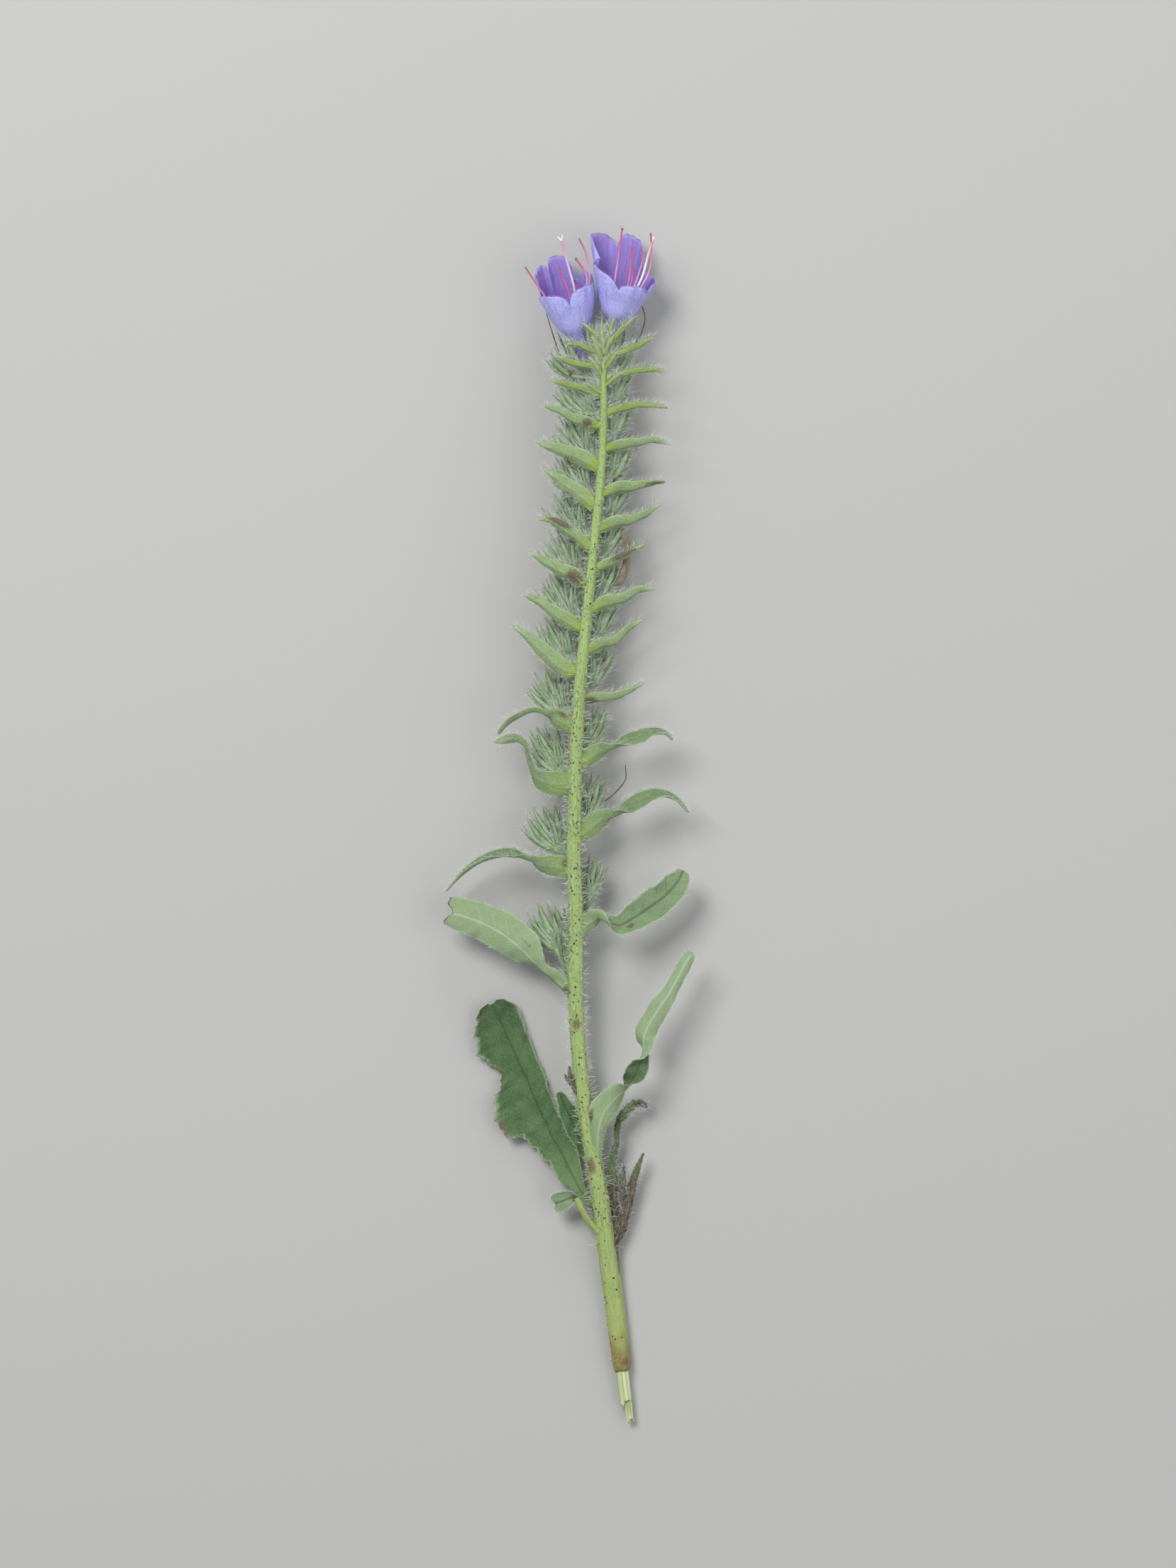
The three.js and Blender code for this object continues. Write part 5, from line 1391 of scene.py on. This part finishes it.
def in_flower(flower, points):
    points = turned(np.asarray(points, float), [1.0, 0, 0], FLOWER_LIFT)
    return turned(points, UP, flower["lean"]) + np.array(flower["base"])


def rim_at(flower, degrees):
    """How far out and how high the rim is at an angle, and how far through its lobe that is."""
    notches, lobes = np.array(flower["notches"], float), np.array(flower["lobes"], float)
    angle = np.where(degrees >= notches[0, 0] + 360, degrees - 360, degrees)
    i = np.clip(np.searchsorted(notches[:, 0], angle, side="right") - 1, 0, 4)
    start, stop, peak = notches[i], notches[(i + 1) % 5], lobes[i]
    end = np.where(stop[:, 0] > start[:, 0], stop[:, 0], stop[:, 0] + 360)
    rising = (angle - start[:, 0]) / (peak[:, 0] - start[:, 0]) / 2
    falling = 1 - (end - angle) / (end - peak[:, 0]) / 2
    share = np.where(angle < peak[:, 0], rising, falling)
    bulge = np.sin(math.pi * np.clip(share, 0, 1)) ** ROUND_LOBES
    level = start[:, 1:] + (stop[:, 1:] - start[:, 1:]) * share[:, None]
    top = peak[:, 1:] - (start[:, 1:] + stop[:, 1:]) / 2
    return level + top * bulge[:, None], share


def petal_wall(flower, phases, degrees, k, face):
    """Points of a corolla's wall at an angle and a share k of its height, on one of its faces; how
    far through its lobe each is; and its distance out and up."""
    rim, share = rim_at(flower, degrees)
    even = sum(rim_at(flower, (degrees + turn) % 360)[0] for turn in (-18, -9, 0, 9, 18)) / 5
    swing = SIDE_SWING * np.sin(TURN * share) * np.clip(2 * k - 1, 0, 1) ** 3
    radians = np.radians(degrees - swing)
    rows = np.empty((len(degrees), 7, 2))
    rows[:, :5] = TUBE
    rows[:, 5] = (np.array(TUBE[-1]) + even) / 2 + [FULLNESS, 0]
    rows[:, 6] = rim
    rows[:, 1:, 0] -= WALL / 2
    at, slope = follow(rows, k), unit(follow(rows, k, slope=True))
    slope = np.where(k[:, None] <= 0, [1.0, 0.0], slope)
    inward = columns(-slope[:, 1], slope[:, 0])
    thick = WALL * np.clip((1 - k) / RIM_THINNING, 0.25, 1) ** 0.5
    flare = np.clip((k - FLARE_FROM) / (1 - FLARE_FROM), 0, 1)
    waves = np.sin(11 * radians + phases[0]) + 0.7 * np.sin(19 * radians + phases[1])
    pleat = PLEAT * flare * np.cos(TURN * (share - 0.5))
    at = at + inward * (RUFFLE * flare**2 * waves - face * thick - pleat)[:, None]
    at[:, 1] += FRILL * flare**6 * np.sin(23 * radians + phases[2])
    at[:, 0] = np.maximum(at[:, 0], 0)
    out, up = at.T
    return in_flower(flower, columns(out * np.sin(radians), up, out * np.cos(radians))), share, at


def make_corolla(word, flower, seed):
    own = np.random.default_rng(seed)
    phases = own.random(5) * TURN

    def place(u, v):
        degrees, face = 360 * u, np.where(v < 0.5, 1.0, -1.0)
        k = np.where(v < 0.5, 2 * v, 2 * (1 - v))
        points, share, at = petal_wall(flower, phases, degrees, k, face)
        sides = sum(bell((share - 0.5 - spot * (0.4 + 0.6 * k)) / 0.022) for spot in SIDE_VEINS)
        vein = np.clip(bell((share - 0.5) / 0.08) + 0.7 * sides, 0, 1) * np.clip(1.3 - k, 0, 1)
        radians = np.radians(degrees)
        return points, {
            "place": columns(k, vein, face),
            "measure": columns(at[:, 1], np.sin(radians) * 4, np.cos(radians) * 4),
        }

    def outside(degrees, k):
        return petal_wall(flower, phases, degrees, k, 1.0)[0]

    mesh = skin(f"corolla_{word}", *PETAL_GRID, place)
    piece(f"corolla_{word}_petals", mesh, "petal_violet", "petal", f"corolla_{word}")

    down, count = Down(), PETAL_HAIRS
    degrees, k = own.uniform(0, 360, count), own.uniform(0.3, 1.0, count) ** 0.8
    root = outside(degrees, k)
    up = unit(outside(degrees, np.minimum(k + 0.01, 1)) - outside(degrees, k - 0.01))
    outward = unit(np.cross(up, outside((degrees + 1) % 360, k) - root))
    centre = in_flower(flower, columns(0, k * 10, 0))
    outward *= np.sign(np.sum(outward * (root - centre), -1, keepdims=True))
    noise = own.normal(size=(count, 3))
    aim = outward + up * own.uniform(0.0, 0.7, (count, 1)) + 0.2 * noise
    down.add(root, aim, own.uniform(0.15, 0.45, count), 0.012, up * 0.2)

    degrees = own.uniform(0, 360, RIM_HAIRS)
    root, below = (outside(degrees, np.full(RIM_HAIRS, k)) for k in (0.995, 0.95))
    aim = unit(root - below) + 0.4 * own.normal(size=(RIM_HAIRS, 3))
    down.add(root, aim, own.uniform(0.2, 0.45, RIM_HAIRS), 0.014)
    down.make(f"corolla_{word}_hairs", "petal_hair_white", SPECK)


def threads(name, steps, lines):
    """Thin round threads as one mesh."""
    return as_mesh(name, gathered(Stalk(rows).mesh(name, 10, count)
                                  for rows, count in zip(lines, steps)))


def make_inner(word, flower, seed):
    """Filaments, anthers and the style of one flower."""
    own = np.random.default_rng(seed)
    lines, anthers = [], []
    for size, (degrees, *path) in zip(flower["anthers"], flower["filaments"]):
        x, z = (TUBE_RADIUS * call(math.radians(degrees)) for call in (math.sin, math.cos))
        inside = [in_flower(flower, (x, y, z)) for y in FILAMENT_HEIGHTS]
        points = np.array([*inside, *path])
        radii = np.linspace(*FILAMENT_RADII, len(points))
        lines.append(np.column_stack([points, radii]))
        if size:
            anthers.append((points[-1], unit(points[-1] - points[-2]), 0.7 * size))
    lines.append([(*in_flower(flower, (0, y, 0)), 0.8) for y in PLUG_HEIGHTS])
    mesh = threads(f"stamens_{word}", [40] * len(lines), lines)
    piece(f"stamens_{word}_filaments", mesh, "filament_pink", "filament", f"stamens_{word}")

    bm = bmesh.new()
    bmesh.ops.create_uvsphere(bm, u_segments=12, v_segments=8, radius=1)
    sac = Pattern(bm)
    placed = []
    for point, along, size in anthers:
        across = unit(np.cross(along, own.normal(size=3)))
        axes = np.array([across, np.cross(along, across), along])
        x, y, z = sac.points.T * size
        knob = 1 + 0.08 * np.sin(7 * x + 5 * z)
        lobe = columns(x * 0.2, y * 0.17 * knob, z * 0.38 * knob) @ axes
        placed += [point + along * 0.1 + across * side * 0.17 * size + lobe for side in (-1, 1)]
    mesh = sac.copies(f"anthers_{word}", np.stack(placed))
    piece(f"stamens_{word}_anthers", mesh, "anther_grey", "filament", f"stamens_{word}")

    inside = [in_flower(flower, (0, y, 0)) for y in STYLE_HEIGHTS]
    line = np.array([*inside, *flower["style"]])
    radii = np.linspace(0.2, 0.16, len(line))
    end = line[-1]
    forks = [[(*end, 0.15), (*((end + np.array(tip)) / 2 + [0, 0.05, 0]), 0.13), (*tip, 0.07)]
             for tip in flower["fork"]]
    mesh = threads(f"style_{word}", (50, 12, 12), (np.column_stack([line, radii]), *forks))
    piece(f"style_{word}_fine", mesh, "style_pale", "style", f"style_{word}")


def make_flowers(draw):
    down, silk = Down(), Down()
    for number, (word, flower) in enumerate(FLOWERS.items()):
        make_corolla(word, flower, PETAL_SEED + number)
        make_inner(word, flower, ANTHER_SEED + number)
        side = -1 if word == "left" else 1
        root, end, fork = rachis(flower["stalk_from"], side)
        foot, tip = (in_flower(flower, (0, FLOWER_CALYX[key], 0)) for key in ("foot", "tip"))
        calyxes = [Calyx(fork, foot, tip, FLOWER_CALYX, draw),
                   Calyx(fork, *flower["bud"], LOBES, draw)]
        node = f"flower_calyx_{word}"
        calyx_piece(f"{node}_lobes", calyxes, (root, end), node, 0.3)
        for calyx in calyxes:
            calyx.hairs(down, silk, *FLOWER_BRISTLES)
        own = np.random.default_rng(SILK_SEED + number)
        loose_silk(silk, root, end, calyxes, side, own, FLOWER_SILK)
    down.make("flower_calyx_bristles", "bristle_white")
    silk.make("flower_calyx_silk", "silk_white", SILK)


# Dead parts

def make_dead():
    greens = [*SHOOT_GREENS, NEVER_GREEN]
    for name, lines, grid, shape, greens, finish, *nodes in (
        ("withered_shoot_fine", [*SHOOT, SCALE], (18, 60), crumpled, greens, "withered_brown",
         "withered_shoot"),
        ("withered_corolla_fine", [DEAD_COROLLA], (22, 60), crumpled, [NEVER_GREEN],
         "dead_petal_brown", "withered_corolla"),
        ("dried_filaments", THREADS, (8, 30), None, [NEVER_GREEN] * 4, "withered_brown"),
        ("withered_bud", DEAD_BUD, (12, 24), crumpled, [BUD_GREEN] * 3, "withered_brown"),
    ):
        meshes = [Stalk(rows, shape).mesh(name, *grid, green=green)
                  for rows, green in zip(lines, greens)]
        piece(name, as_mesh(name, gathered(meshes)), finish, "withered", *nodes)

    down = Down()
    for rows, count in (*((rows, 330) for rows in SHOOT), *((rows, 60) for rows in DEAD_BUD)):
        t, angle = luck.uniform(0, 1, count), luck.uniform(0, TURN, count)
        root, outward, along = Stalk(rows, crumpled).point(t, angle)
        noise = luck.normal(size=(count, 3))
        aim = outward + along * 0.5 + 0.3 * noise
        down.add(root, aim, luck.uniform(0.4, 1.5, count), 0.028, 0.2 * noise)
    down.make("withered_shoot_hairs", "dead_hair_white")


# Floor, lights and camera

def make_studio():
    bm = bmesh.new()
    bmesh.ops.create_grid(bm, x_segments=2, y_segments=2, size=1.5)
    floor = add_object("floor", as_mesh("floor", bm))
    floor.data.materials.append(FINISHES["pale_floor"])

    world = bpy.data.worlds.new("studio")
    world.use_nodes = True
    background = world.node_tree.nodes["Background"]
    background.inputs["Color"].default_value = SKY
    background.inputs["Strength"].default_value = SKY_STRENGTH
    bpy.context.scene.world = world

    for name, place, size, power in LIGHTS:
        light = bpy.data.lights.new(name, "AREA")
        light.size, light.energy = size, power
        made = add_object(name, light)
        made.location = place
        aim = Vector(LIT_POINT) - made.location
        made.rotation_euler = aim.to_track_quat("-Z", "Y").to_euler()
    bpy.context.scene.view_settings.view_transform = "Standard"

    camera = bpy.data.cameras.new("camera")
    camera.sensor_fit = "VERTICAL"
    camera.sensor_height = SENSOR
    camera.lens = SENSOR * CAMERA_HEIGHT / CAMERA_FIELD
    made = add_object("camera", camera)
    made.location = (*CAMERA_CENTRE, CAMERA_HEIGHT + STEM_HEIGHT)
    bpy.context.scene.camera = made


draw = Draw()
make_finishes()
make_stem()
make_core()
make_blades()
make_cymes(draw)
make_flowers(draw)
make_dead()
make_studio()
